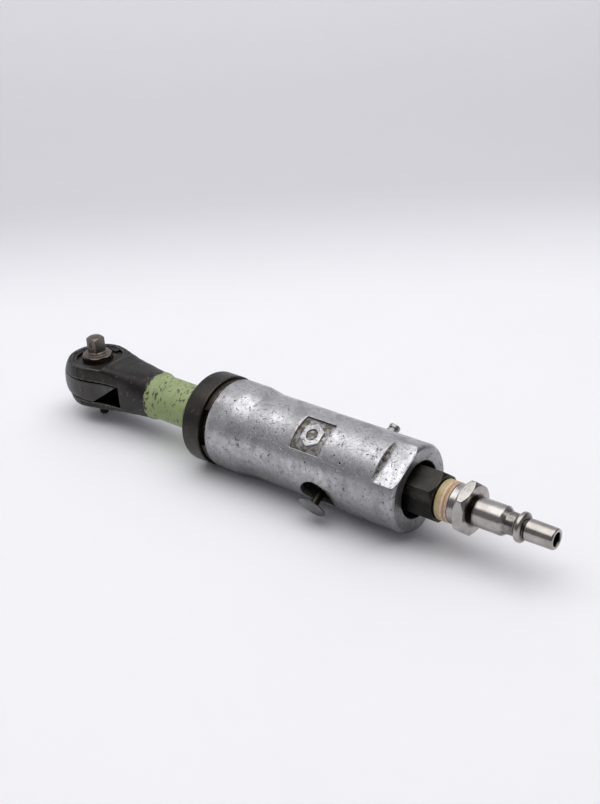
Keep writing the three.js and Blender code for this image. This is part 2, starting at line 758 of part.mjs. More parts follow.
function wrenchFlat(angle) {
  const length = HOUSING_END - FLAT_START + 2;
  const box = new THREE.BoxGeometry(length, 40, 10);
  return solid(radial(box.translate(length / 2, 0, FLAT_DISTANCE + 5), FLAT_START, angle));
}

function emblemRecess() {
  const box = new THREE.BoxGeometry(EMBLEM_SIZE, EMBLEM_SIZE, 8).translate(0, 0, EMBLEM_FLOOR);
  const core = rodX(EMBLEM_X - 12, EMBLEM_X + 12, EMBLEM_FLOOR, 32);
  return solid(radial(box, EMBLEM_X, EMBLEM_ANGLE)).subtract(core);
}

// A plain hexagon with a round hole, standing in the recess.
function emblemMotif() {
  const shape = regularPolygon(6, 5.6, 30);
  shape.holes.push(new THREE.Path(disc(2.7, 16).getPoints()));
  return solid(radial(prism(shape, EMBLEM_FLOOR - 1.2, EMBLEM_FLOOR + 0.55), EMBLEM_X, EMBLEM_ANGLE));
}

function regulatorWell() {
  const halfLength = 9.7;
  const halfWidth = 4.4;
  const shape = new THREE.Shape();
  shape.absarc(halfLength - halfWidth, 0, halfWidth, -Math.PI / 2, Math.PI / 2, false);
  shape.absarc(halfWidth - halfLength, 0, halfWidth, Math.PI / 2, 1.5 * Math.PI, false);
  const offset = -1.7;
  return solid(radial(prism(shape, REGULATOR_WELL_FLOOR, 24), REGULATOR_X + offset, REGULATOR_ANGLE));
}

function motorHousing() {
  return cut(
    join(housingBlank().subtract(emblemRecess()), emblemMotif()),
    wrenchFlat(FLAT_ANGLE),
    wrenchFlat(FLAT_ANGLE + 180),
    radialRod(THROTTLE_X, THROTTLE_ANGLE, BUTTON_WELL_FLOOR, 30, BUTTON_WELL_RADIUS, 28),
    radialRod(THROTTLE_X, THROTTLE_ANGLE, -4, BUTTON_WELL_FLOOR + 1, VALVE_BORE),
    regulatorWell(),
    radialRod(REGULATOR_X, REGULATOR_ANGLE, 0, REGULATOR_WELL_FLOOR + 1, REGULATOR_BORE),
    radialRod(160.5, 146, 17.2, 22, 0.5, 8),
  );
}

// ---------- throttle, regulator and inlet ----------
const VALVE_TOP = 6.2;          // the valve's seat, from the tool's axis

function throttleButton() {
  const stem = 1.75;
  return radialTurned([
    [0, VALVE_TOP - 1.9], [stem - 0.5, VALVE_TOP - 1.9], [stem - 0.5, VALVE_TOP + 0.2],
    [stem, VALVE_TOP + 0.2], [stem, BUTTON_TOP - 2.4], [stem + 0.9, BUTTON_TOP - 1.5],
    [BUTTON_RADIUS - 0.3, BUTTON_TOP - 1.3], [BUTTON_RADIUS, BUTTON_TOP - 0.9],
    [BUTTON_RADIUS - 0.5, BUTTON_TOP - 0.4], [BUTTON_RADIUS / 2, BUTTON_TOP - 0.1],
    [0, BUTTON_TOP],
  ], THROTTLE_X, THROTTLE_ANGLE, 24);
}

function throttleValve() {
  const bore = 1.75 - 0.5 + 0.1;
  return radialTurned([
    [bore, VALVE_TOP - 1.6], [3.4, VALVE_TOP - 1.6], [3.4, VALVE_TOP - 0.4],
    [3.0, VALVE_TOP], [bore, VALVE_TOP],
  ], THROTTLE_X, THROTTLE_ANGLE, SMALL_ROUND);
}

function throttleBush() {
  return radialTurned([
    [1.75 + FIT, VALVE_TOP + GAP], [VALVE_BORE - FIT, VALVE_TOP + GAP],
    [VALVE_BORE - FIT, BUTTON_WELL_FLOOR + 0.2], [5.4, BUTTON_WELL_FLOOR + 0.2],
    [5.4, BUTTON_WELL_FLOOR + 1.2], [2.9, BUTTON_WELL_FLOOR + 1.2],
    [2.9, BUTTON_WELL_FLOOR + 0.1], [1.75 + FIT, BUTTON_WELL_FLOOR + 0.1],
  ], THROTTLE_X, THROTTLE_ANGLE, SMALL_ROUND);
}

function ringSeal(x, angle, height, ringRadius, wireRadius) {
  const torus = new THREE.TorusGeometry(ringRadius, wireRadius, 6, 14);
  return radial(torus.translate(0, 0, height), x, angle);
}

function throttleSpring() {
  return radial(coil(2.4, 0.3, -3.6, VALVE_TOP - 2.0, 5), THROTTLE_X, THROTTLE_ANGLE);
}

function regulatorScrew() {
  const top = 22.7;
  const turned = radialTurned([
    [0, 5.0], [2.2, 5.0], [2.2, 16.0], [2.6, 16.0], [2.6, 20.2], [1.9, 20.5], [1.9, 21.0],
    [2.4, 21.2], [2.4, top - 0.3], [2.1, top], [0, top],
  ], REGULATOR_X, REGULATOR_ANGLE, 14);
  const slot = new THREE.BoxGeometry(6, 0.7, 1.4).translate(0, 0, top);
  return cut(turned, solid(radial(slot, REGULATOR_X, REGULATOR_ANGLE)));
}

// A hexagon across the tool's axis with its corners turned down at both ends.
function hexagonX(start, end, vertexAngle, chamfer) {
  const hexagon = solid(prismX(regularPolygon(6, HEX_CIRCUMRADIUS, vertexAngle), start, end));
  const apothem = HEX_CIRCUMRADIUS * Math.cos(Math.PI / 6);
  const turned = turnedX([
    [start, 0], [start, apothem], [start + chamfer, HEX_CIRCUMRADIUS + 0.3],
    [end - chamfer, HEX_CIRCUMRADIUS + 0.3], [end, apothem], [end, 0],
  ], 24);
  return hexagon.intersect(turned);
}

function inletBushing() {
  const start = COUNTERBORE_FLOOR + GAP;
  return cut(
    join(
      hexagonX(start, BUSHING_END, 81.5, 1.2),
      rodX(INLET_BORE_END + 1, start + 1, INLET_BORE - FIT, 24),
    ),
    rodX(INLET_BORE_END, BUSHING_END, 5.0),
    rodX(190.0, BUSHING_END + 1, 8.25, 24),
  );
}

function inletScreen() {
  const plate = rodX(187.6, 188.4, 4.8);
  const holes = [rodX(187, 189, 0.95, 8)];
  for (let i = 0; i < 6; i += 1) {
    const angle = i * Math.PI / 3;
    const hole = rodX(187, 189, 0.95, 8);
    holes.push(hole.translate(0, 2.9 * Math.cos(angle), 2.9 * Math.sin(angle)));
  }
  return cut(plate, ...holes);
}

function hosePlug() {
  const bore = 2.7;
  const body = turnedX([
    [190.6, 5.0], [190.6, 7.9], [TAPE_END + 0.3, 7.9], [TAPE_END + 0.3, 8.3],
    [TAPE_END + 0.9, 8.6],
    [PLUG_HEX_START + 0.5, 8.6], [PLUG_HEX_END - 0.5, 8.0], [PLUG_HEX_END + 0.2, 6.5],
    [PLUG_HEX_END + 0.2, 5.1], [215.3, 5.1], [215.7, 5.9], [227.1, 5.9], [227.8, 5.4],
    [229.0, 4.6], [232.6, 4.5], [233.3, 5.4], [234.0, 6.0], [235.4, 6.0], [236.1, 5.2],
    [236.4, 4.1], [237.4, 4.35], [PLUG_TIP - 0.5, 4.25], [PLUG_TIP, 3.9],
    [PLUG_TIP, bore + 0.2], [PLUG_TIP - 0.6, bore], [200, bore], [196, 5.0],
  ], 18);
  const hexagon = hexagonX(PLUG_HEX_START, PLUG_HEX_END, 78.9, 0.8);
  return join(body, hexagon.subtract(rodX(200, 220, 6.0)));
}

// ---------- assembly ----------
const tool = new THREE.Group();
tool.position.z = -DRIVE_TIP;

function asGeometry(shape) {
  return shape.isBufferGeometry ? weld(shape) : toGeometry(shape);
}

function place(name, shape, material, parent = tool) {
  const mesh = new THREE.Mesh(asGeometry(shape), material);
  mesh.name = name;
  parent.add(mesh);
  return mesh;
}

function addHead() {
  place('ratchet_housing', ratchetHousing(), blackSteel);
  place('neck_band', neckBand(), greenTape);
  place('yoke', yoke(), wornSteel);
  place('anvil', anvil(), wornSteel);
  place('socket_ball', socketBall(), brightSteel).position.set(0, -2.5, BALL_HEIGHT);
  const ballSpring = place('socket_ball_spring', coil(0.75, 0.14, 0, 1.3, 3), springSteel);
  ballSpring.position.set(0, -0.1, BALL_HEIGHT);
  ballSpring.rotation.x = Math.PI / 2;
  place('friction_washer', frictionWasher(), bronze).position.z = POCKET_FLOOR + 0.2;
  const ring = place('retaining_ring', retainingRing(), blackSteel);
  ring.position.z = POCKET_FLOOR + 1.1;
  ring.rotation.z = degrees(60);
}

function addPawlAndLever() {
  const pawl = place('pawl', prism(pawlShape(), RECESS_BOTTOM + GAP, RECESS_TOP - GAP), hardenedSteel);
  pawl.position.x = PAWL_PIVOT;
  pawl.rotation.z = degrees(PAWL_TILT);
  const pin = place('pawl_pin', rodZ(RECESS_BOTTOM - 0.8, RECESS_TOP + 2, 1.2, TINY_ROUND), brightSteel);
  pin.position.x = PAWL_PIVOT;
  const lever = new THREE.Group();
  lever.rotation.z = degrees(LEVER_ANGLE);
  tool.add(lever);
  place('reverse_lever', reverseLever(), blackSteel, lever);
  const plunger = place('pawl_plunger', new THREE.CylinderGeometry(0.85, 0.85, 1.6, TINY_ROUND),
    brightSteel, lever);
  plunger.rotation.z = Math.PI / 2;
  plunger.position.set(-2.1, 0, -1.8);
  const spring = place('pawl_spring', coil(0.6, 0.12, 0, 1.6, 4), springSteel, lever);
  spring.rotation.y = -Math.PI / 2;
  spring.position.set(0.6, 0, -1.8);
}

function addCrankAndGears() {
  place('crankshaft', crankshaft(), hardenedSteel);
  const bushing = place('drive_bushing', ringX(26, 32.6, 1.5, 2.3, TINY_ROUND), bronze);
  bushing.position.z = CRANK_THROW;
  place('crank_bearing_front', crankBearing(46, 56), bronze);
  place('crank_bearing_rear', crankBearing(70, 82), bronze);
  place('ring_gear', ringGear(), hardenedSteel);
  planetAngles().forEach((angle, k) => {
    const [y, z] = orbitPoint(angle);
    const pin = place(`planet_pin_${k + 1}`, rodX(86, GEAR_END - 0.3, 1.5, TINY_ROUND), brightSteel);
    const gear = place(`planet_gear_${k + 1}`, planetGear(angle), hardenedSteel);
    pin.position.set(0, y, z);
    gear.position.set(0, y, z);
  });
}

function addMotor() {
  place('rotor', rotor(), hardenedSteel);
  for (let k = 0; k < VANE_COUNT; k += 1) {
    place(`vane_${k + 1}`, vane(k), vaneResin);
  }
  place('motor_cylinder', motorCylinder(), hardenedSteel);
  place('front_end_plate', endPlate(FRONT_PLATE, true), hardenedSteel);
  place('rear_end_plate', endPlate(REAR_PLATE, false), hardenedSteel);
  place('front_rotor_bearing', rotorBearing(FRONT_PLATE[0] + 0.2), brightSteel);
  place('rear_rotor_bearing', rotorBearing(REAR_PLATE[1] - 3.2), brightSteel);
  const dowel = place('alignment_pin', rodX(99, 136, 1.0, TINY_ROUND), brightSteel);
  dowel.position.z = DOWEL_HEIGHT;
  const gasket = ringX(REAR_PLATE[1] + GAP, MOTOR_BORE_END - GAP, 9, MOTOR_PART_RADIUS, 24);
  place('motor_gasket', gasket, blackRubber);
}

function addHousing() {
  place('motor_housing', motorHousing(), castAluminium);
  place('coupling_nut', couplingNut(), blackSteel);
  place('exhaust_ring', exhaustRing(), bronze);
}

function addThrottleAndRegulator() {
  place('throttle_button', throttleButton(), brightSteel);
  place('throttle_valve', throttleValve(), blackRubber);
  place('throttle_bush', throttleBush(), brightSteel);
  place('throttle_seal', ringSeal(THROTTLE_X, THROTTLE_ANGLE, BUTTON_WELL_FLOOR + 0.65, 2.32, 0.42),
    blackRubber);
  place('throttle_spring', throttleSpring(), springSteel);
  place('regulator_screw', regulatorScrew(), brightSteel);
  place('regulator_seal', ringSeal(REGULATOR_X, REGULATOR_ANGLE, 12, 2.6, 0.33), blackRubber);
}

function addInlet() {
  place('inlet_bushing', inletBushing(), blackSteel);
  place('inlet_screen', inletScreen(), bronze);
  place('hose_plug', hosePlug(), brightSteel);
  place('thread_tape', ringX(BUSHING_END + GAP, TAPE_END, 8.05, 8.4, 24), amberTape);
}

addHead();
addPawlAndLever();
addCrankAndGears();
addMotor();
addHousing();
addThrottleAndRegulator();
addInlet();

const wrench = new THREE.Group();
wrench.add(tool);

export default wrench;
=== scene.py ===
"""Small pneumatic ratchet wrench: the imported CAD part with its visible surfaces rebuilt.

Shapes are drawn in millimetres in the tool's own frame, x along the tool from the anvil's
axis and y = z = 0 on the motor's axis, and deliver() turns them into metres in the row frame.
"""

import math

import bmesh
import bpy
from mathutils import Matrix, Vector, noise


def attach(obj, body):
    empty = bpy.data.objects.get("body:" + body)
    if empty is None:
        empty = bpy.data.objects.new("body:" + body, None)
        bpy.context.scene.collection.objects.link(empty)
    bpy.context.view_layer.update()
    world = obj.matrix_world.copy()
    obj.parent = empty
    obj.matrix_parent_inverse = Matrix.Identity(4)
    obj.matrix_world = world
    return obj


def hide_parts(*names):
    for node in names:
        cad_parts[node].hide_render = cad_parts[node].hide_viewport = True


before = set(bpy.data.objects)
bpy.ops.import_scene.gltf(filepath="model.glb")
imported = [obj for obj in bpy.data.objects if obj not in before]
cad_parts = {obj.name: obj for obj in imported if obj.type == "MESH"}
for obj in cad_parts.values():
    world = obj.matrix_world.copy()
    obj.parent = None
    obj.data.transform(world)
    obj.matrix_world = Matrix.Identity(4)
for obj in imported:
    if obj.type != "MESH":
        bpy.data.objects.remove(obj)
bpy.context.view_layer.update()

MM = 0.001
DRIVE_TIP = 20.0  # the row frame's origin is the drive's end face, this far above the axis
FLOOR_HEIGHT = -20.5  # the coupling nut rests on the floor

# sizes that several pieces share, in millimetres
HEAD_TOP, HEAD_BOTTOM = 9.9, -10.9
HEAD_WIDTH = 14.65  # from the middle to a side, at its widest
HEAD_MIDDLE = (HEAD_TOP + HEAD_BOTTOM) / 2
HEAD_FLAT_END = 14.3
SLOT_TOP, SLOT_BOTTOM, SLOT_END = 3.5, -7.5, 24.4
POCKET_RADIUS, POCKET_FLOOR = 12.0, 7.6
EAR_BORE, LOWER_BORE = 9.15, 5.4
BALL_HEIGHT = 16.4
BARREL_END, BARREL_RADIUS = 41.6, 11.05
NECK_START, NECK_RADIUS = 44.2, 10.0
NECK_THREAD_START, NECK_END, NECK_THREAD_RADIUS = 73.6, 84.0, 11.4
NUT_START, NUT_END, NUT_RADIUS = 74.3, 85.9, 20.5
SPIGOT_START, SPIGOT_RADIUS = 80.5, 16.9
HOUSING_START, HOUSING_END = 89.06, 188.0
COUNTERBORE, COUNTERBORE_FLOOR = 12.0, 181.5
BUSHING_START, BUSHING_END, TAPE_END = 181.8, 199.7, 205.6
PLUG_HEX_START, PLUG_HEX_END, PLUG_END, PLUG_BORE = 209.3, 214.1, 248.8, 2.7
HOUSING_RADIUS, BULGE_RADIUS = 18.7, 20.05
THROTTLE_X, THROTTLE_ANGLE, THROTTLE_FLOOR, BUTTON_TOP = 148.6, 211.5, 12.6, 24.2
REGULATOR_X, REGULATOR_ANGLE = 163.0, 33.0
FLAT_START, FLAT_ANGLE = 177.0, 121.0
EMBLEM_X, EMBLEM_ANGLE, EMBLEM_FLOOR = 142.3, 123.7, 17.8
FAR = 40.0  # past any of the tool's surfaces, for cutters
OUTSIDE = 26.0  # past the housing's skin, from the tool's axis
VOXEL = 0.3


# ---------- outlines ----------
def soften(points, radius, steps=4):
    """Rounds the corners of a closed outline; a point may carry its own radius."""
    result = []
    count = len(points)
    for i, point in enumerate(points):
        here = Vector(point[:2])
        before = Vector(points[i - 1][:2]) - here
        after = Vector(points[(i + 1) % count][:2]) - here
        wanted = point[2] if len(point) > 2 else radius
        half = before.angle(after) / 2
        if wanted <= 0 or abs(half - math.pi / 2) < 0.02:
            result.append(tuple(here))
            continue
        reach = min(wanted / math.tan(half), 0.45 * before.length, 0.45 * after.length)
        actual = reach * math.tan(half)
        middle = here + (before.normalized() + after.normalized()).normalized() * (
            actual / math.sin(half)
        )
        first = here + before.normalized() * reach - middle
        last = here + after.normalized() * reach - middle
        sweep = first.angle_signed(last)
        for k in range(steps + 1):
            turn = Matrix.Rotation(-sweep * k / steps, 2)
            result.append(tuple(middle + turn @ first))
    return result


def dense(points, spacing):
    """Splits the long sides of a closed outline."""
    result = []
    for i, point in enumerate(points):
        here, there = Vector(point), Vector(points[(i + 1) % len(points)])
        parts = max(1, math.ceil((there - here).length / spacing))
        result += [tuple(here.lerp(there, k / parts)) for k in range(parts)]
    return result


def polygon(sides, radius, start=0.0):
    turns = [math.radians(start) + 2 * math.pi * k / sides for k in range(sides)]
    return [(radius * math.cos(t), radius * math.sin(t)) for t in turns]


def circle(radius, steps):
    return polygon(steps, radius)


def square_outline(half):
    return [(half, -half), (half, half), (-half, half), (-half, -half)]


def arc(radius, first, last, steps, middle=(0.0, 0.0)):
    turns = [math.radians(first + (last - first) * k / steps) for k in range(steps + 1)]
    return [(middle[0] + radius * math.cos(t), middle[1] + radius * math.sin(t)) for t in turns]


# ---------- frames: local X is the axis that things are turned about ----------
def frame_at(along, origin=(0.0, 0.0, 0.0)):
    x = Vector(along).normalized()
    side = Vector((1, 0, 0)) if abs(x.x) < 0.9 else Vector((0, 1, 0))
    y = (side - x * side.dot(x)).normalized()
    matrix = Matrix((x, y, x.cross(y))).transposed().to_4x4()
    matrix.translation = origin
    return matrix


def radial(x, angle):
    turn = math.radians(angle)
    return frame_at((0, math.cos(turn), math.sin(turn)), (x, 0, 0))


TOOL = Matrix.Identity(4)
DRIVE = frame_at((0, 0, 1))


# ---------- meshes ----------
def to_object(bm, place=TOOL):
    bmesh.ops.recalc_face_normals(bm, faces=bm.faces)
    mesh = bpy.data.meshes.new("shape")
    bm.to_mesh(mesh)
    bm.free()
    mesh.transform(place)
    obj = bpy.data.objects.new("shape", mesh)
    bpy.context.collection.objects.link(obj)
    return obj


def skin(rings, place=TOOL, loop=False):
    """Faces between rings of points. A ring of one point is a pole; a ring may close an end."""
    bm = bmesh.new()
    made = [[bm.verts.new(point) for point in ring] for ring in rings]
    pairs = list(zip(made, made[1:])) + ([(made[-1], made[0])] if loop else [])
    for a, b in pairs:
        count = max(len(a), len(b))
        if count == 1:
            continue
        for j in range(count):
            k = (j + 1) % count
            corners = [a[j % len(a)], a[k % len(a)], b[k % len(b)], b[j % len(b)]]
            face = list(dict.fromkeys(corners))
            if len(face) > 2:
                bm.faces.new(face)
    if not loop:
        for ring in (made[0], made[-1]):
            if len(ring) > 2:
                bm.faces.new(ring)
    return to_object(bm, place)


def turned(outline, place=TOOL, steps=160):
    """Revolves a closed outline of (distance, radius) points about local X."""
    rings = []
    for x, radius in outline:
        if radius < 1e-6:
            rings.append([(x, 0, 0)])
        else:
            rings.append([(x, y, z) for y, z in circle(radius, steps)])
    return skin(rings, place, loop=True)


def lathe(points, radius, spacing, place=TOOL, steps=160, corner=4):
    """Revolves an outline with rounded corners and evenly split sides."""
    return turned(dense(soften(points, radius, corner), spacing), place, steps)


def rod(start, end, radius, place=TOOL, steps=96):
    return turned([(start, 0), (start, radius), (end, radius), (end, 0)], place, steps)


def prism(outline, start, end, place=TOOL, bevel=0.0, segments=3):
    """An outline in local Y and Z, drawn out along local X, with rounded sharp edges."""
    bm = bmesh.new()
    low = [bm.verts.new((start, y, z)) for y, z in outline]
    high = [bm.verts.new((end, y, z)) for y, z in outline]
    bm.faces.new(low)
    bm.faces.new(high)
    for k in range(len(low)):
        j = (k + 1) % len(low)
        bm.faces.new((low[k], low[j], high[j], high[k]))
    bmesh.ops.recalc_face_normals(bm, faces=bm.faces)
    if bevel:
        sharp = [e for e in bm.edges if e.calc_face_angle(0) > math.radians(25)]
        bmesh.ops.bevel(
            bm, geom=sharp, offset=bevel, segments=segments, affect="EDGES", clamp_overlap=True
        )
    return to_object(bm, place)


def box(low, high, bevel=0.0, place=TOOL):
    corners = [(low[1], low[2]), (high[1], low[2]), (high[1], high[2]), (low[1], high[2])]
    return prism(corners, low[0], high[0], place, bevel)


def settle(obj):
    """Turns an object's modifiers into mesh."""
    graph = bpy.context.evaluated_depsgraph_get()
    mesh = bpy.data.meshes.new_from_object(obj.evaluated_get(graph))
    obj.modifiers.clear()
    obj.data = mesh
    return obj


def combine(obj, tools, operation):
    for tool in tools:
        step = obj.modifiers.new(operation, "BOOLEAN")
        step.operation = operation
        step.solver = "EXACT"
        step.object = tool
        settle(obj)
        bpy.data.objects.remove(tool)
    return obj


def cut(obj, *tools):
    return combine(obj, tools, "DIFFERENCE")


def join(obj, *tools):
    return combine(obj, tools, "UNION")


def overlap(obj, *tools):
    return combine(obj, tools, "INTERSECT")


def worn_down(obj):
    """Remeshes a solid finely and smooths it, which rounds its edges as wear does."""
    remesh = obj.modifiers.new("remesh", "REMESH")
    remesh.mode = "VOXEL"
    remesh.voxel_size = VOXEL
    smooth = obj.modifiers.new("smooth", "SMOOTH")
    smooth.factor = 0.5
    smooth.iterations = 2
    return settle(obj)


def well(outline, floor, surface, lip, place):
    """A cutter for a well whose mouth is rounded where it meets a curved surface.

    floor and surface give heights along local X at a point of the local YZ plane.
    """
    count = len(outline)
    points = [Vector(p) for p in outline]
    normals = []
    for i in range(count):
        along = points[(i + 1) % count] - points[i - 1]
        normals.append(Vector((along.y, -along.x)).normalized())
    middle = sum(points, Vector((0, 0))) / count
    if (points[0] - middle).dot(normals[0]) < 0:
        normals = [-n for n in normals]

    def ring(offset, height):
        places = [p + n * offset for p, n in zip(points, normals)]
        return [(height(q), q.x, q.y) for q in places]

    rings = [[(floor(middle), middle.x, middle.y)]]
    for share in (0.25, 0.5, 0.75, 0.92):
        places = [middle.lerp(p, share) for p in points]
        rings.append([(floor(q), q.x, q.y) for q in places])
    rings.append(ring(0.0, floor))
    for k in range(6):
        turn = math.radians(80) * k / 5
        drop = lip * (1 - math.sin(turn))
        rings.append(ring(lip * (1 - math.cos(turn)), lambda q, drop=drop: surface(q) - drop))
    rings.append(ring(lip * 1.4, lambda q: surface(q) + lip * 0.12))
    rings.append(ring(lip * 1.4, lambda q: OUTSIDE))
    return skin(rings, place)


def on_cylinder(radius):
    return lambda q: math.sqrt(max(radius * radius - q.y * q.y, 0.0))


# ---------- materials ----------
class Paint:
    """One procedural material. Lengths are in millimetres of the object's own frame."""

    def __init__(self, name):
        self.material = bpy.data.materials.new(name)
        self.material.use_nodes = True
        self.tree = self.material.node_tree
        self.shader = self.tree.nodes["Principled BSDF"]
        coords = self.node("ShaderNodeTexCoord").outputs["Object"]
        scale = self.node("ShaderNodeVectorMath", operation="SCALE")
        self.link(coords, scale.inputs[0])
        scale.inputs["Scale"].default_value = 1 / MM
        self.place = scale.outputs[0]
        self.geometry = self.node("ShaderNodeNewGeometry")

    def node(self, kind, **settings):
        node = self.tree.nodes.new(kind)
        for key, value in settings.items():
            setattr(node, key, value)
        return node

    def link(self, value, socket):
        if isinstance(value, bpy.types.NodeSocket):
            self.tree.links.new(value, socket)
        else:
            socket.default_value = value

    def math(self, operation, a, b=0.0):
        node = self.node("ShaderNodeMath", operation=operation)
        self.link(a, node.inputs[0])
        self.link(b, node.inputs[1])
        return node.outputs[0]

    def times(self, a, b):
        return self.math("MULTIPLY", a, b)

    def plus(self, a, b):
        return self.math("ADD", a, b)

    def less(self, a, b):
        return self.math("SUBTRACT", a, b)

    def most(self, first, *others):
        for other in others:
            first = self.math("MAXIMUM", first, other)
        return first

    def spot(self, size, stretch, turn, seed):
        mapping = self.node("ShaderNodeMapping")
        self.link(self.place, mapping.inputs["Vector"])
        mapping.inputs["Rotation"].default_value = [math.radians(t) for t in turn]
        outer = self.node("ShaderNodeVectorMath", operation="MULTIPLY_ADD")
        self.link(mapping.outputs[0], outer.inputs[0])
        outer.inputs[1].default_value = [1 / (size * s) for s in stretch]
        outer.inputs[2].default_value = (seed, seed * 1.7, seed * 0.6)
        return outer.outputs[0]

    def noise(self, size, detail=3.0, stretch=(1, 1, 1), turn=(0, 0, 0), seed=0.0, twist=0.0):
        node = self.node("ShaderNodeTexNoise")
        self.link(self.spot(size, stretch, turn, seed), node.inputs["Vector"])
        node.inputs["Scale"].default_value = 1.0
        node.inputs["Detail"].default_value = detail
        node.inputs["Distortion"].default_value = twist
        return node.outputs[0]

    def cells(self, size, feature, seed):
        node = self.node("ShaderNodeTexVoronoi", feature=feature)
        self.link(self.spot(size, (1, 1, 1), (0, 0, 0), seed), node.inputs["Vector"])
        node.inputs["Scale"].default_value = 1.0
        return node.outputs["Distance"]

    def step(self, value, low, high):
        node = self.node("ShaderNodeMapRange", interpolation_type="SMOOTHSTEP")
        self.link(value, node.inputs["Value"])
        node.inputs["From Min"].default_value = low
        node.inputs["From Max"].default_value = high
        return node.outputs[0]

    def near(self, value, middle, outer, inner):
        """1 where a value is within inner of the middle, and 0 from outer on."""
        return self.step(self.math("ABSOLUTE", self.less(value, middle)), outer, inner)

    def patches(self, low, high, size, **settings):
        """Noise made into regions: 0 below low, 1 above high."""
        return self.step(self.noise(size, **settings), low, high)

    def between(self, share, a, b):
        node = self.node("ShaderNodeMapRange")
        self.link(share, node.inputs["Value"])
        node.inputs["To Min"].default_value = a
        node.inputs["To Max"].default_value = b
        return node.outputs[0]

    def mix(self, share, a, b):
        node = self.node("ShaderNodeMix", data_type="RGBA")
        self.link(share, node.inputs[0])
        self.link(colour(a), node.inputs[6])
        self.link(colour(b), node.inputs[7])
        return node.outputs[2]

    def edges(self, reach=0.5, low=0.006):
        """Where the surface turns within reach: the edges that wear first."""
        bevel = self.node("ShaderNodeBevel", samples=6)
        bevel.inputs["Radius"].default_value = reach * MM
        turn = self.node("ShaderNodeVectorMath", operation="DOT_PRODUCT")
        self.link(bevel.outputs[0], turn.inputs[0])
        self.link(self.geometry.outputs["Normal"], turn.inputs[1])
        return self.step(self.less(1.0, turn.outputs["Value"]), low, 10 * low)

    def crevices(self, distance, low, high):
        node = self.node("ShaderNodeAmbientOcclusion", samples=8)
        node.inputs["Distance"].default_value = distance * MM
        return self.step(node.outputs["AO"], low, high)

    def nicks(self, size, share, seed):
        """Short curved marks: stretches of the borders between noisy cells."""
        border = self.step(self.cells(size, "DISTANCE_TO_EDGE", seed), 0.07, 0.01)
        return self.times(border, self.patches(share, share + 0.04, size * 0.7, seed=seed + 5))

    def specks(self, size, seed, reach, where):
        """Small dots, one to a cell, in some regions only."""
        dots = self.step(self.cells(size, "F1", seed), *reach)
        return self.times(dots, where)

    def scratches(self, size, turn, seed):
        return self.patches(0.64, 0.7, size, detail=2, stretch=(26, 1, 1), turn=turn, seed=seed)

    def position(self):
        """A point's place along the tool, across it, and above its axis."""
        split = self.node("ShaderNodeSeparateXYZ")
        self.link(self.place, split.inputs[0])
        x, y, z = split.outputs
        return x, y, self.plus(z, DRIVE_TIP)

    def from_axis(self):
        y, height = self.position()[1:]
        squares = self.plus(self.math("POWER", y, 2.0), self.math("POWER", height, 2.0))
        return self.math("SQRT", squares)

    def bump(self, height, depth, soft_edge=0.0, normal=None):
        """Height is a value from 0 to 1, and depth what 1 stands for, in millimetres."""
        node = self.node("ShaderNodeBump")
        node.inputs["Distance"].default_value = depth * MM
        self.link(height, node.inputs["Height"])
        if normal is not None:
            self.link(normal, node.inputs["Normal"])
        elif soft_edge:
            bevel = self.node("ShaderNodeBevel", samples=6)
            bevel.inputs["Radius"].default_value = soft_edge * MM
            self.link(bevel.outputs[0], node.inputs["Normal"])
        return node.outputs[0]

    def finish(self, base, roughness, normal, metallic):
        self.link(colour(base), self.shader.inputs["Base Color"])
        self.link(roughness, self.shader.inputs["Roughness"])
        self.link(metallic, self.shader.inputs["Metallic"])
        self.link(normal, self.shader.inputs["Normal"])
        return self.material


def colour(value):
    if isinstance(value, (int, float)):
        return (value, value, value, 1.0)
    if isinstance(value, tuple) and len(value) == 3:
        return (*value, 1.0)
    return value


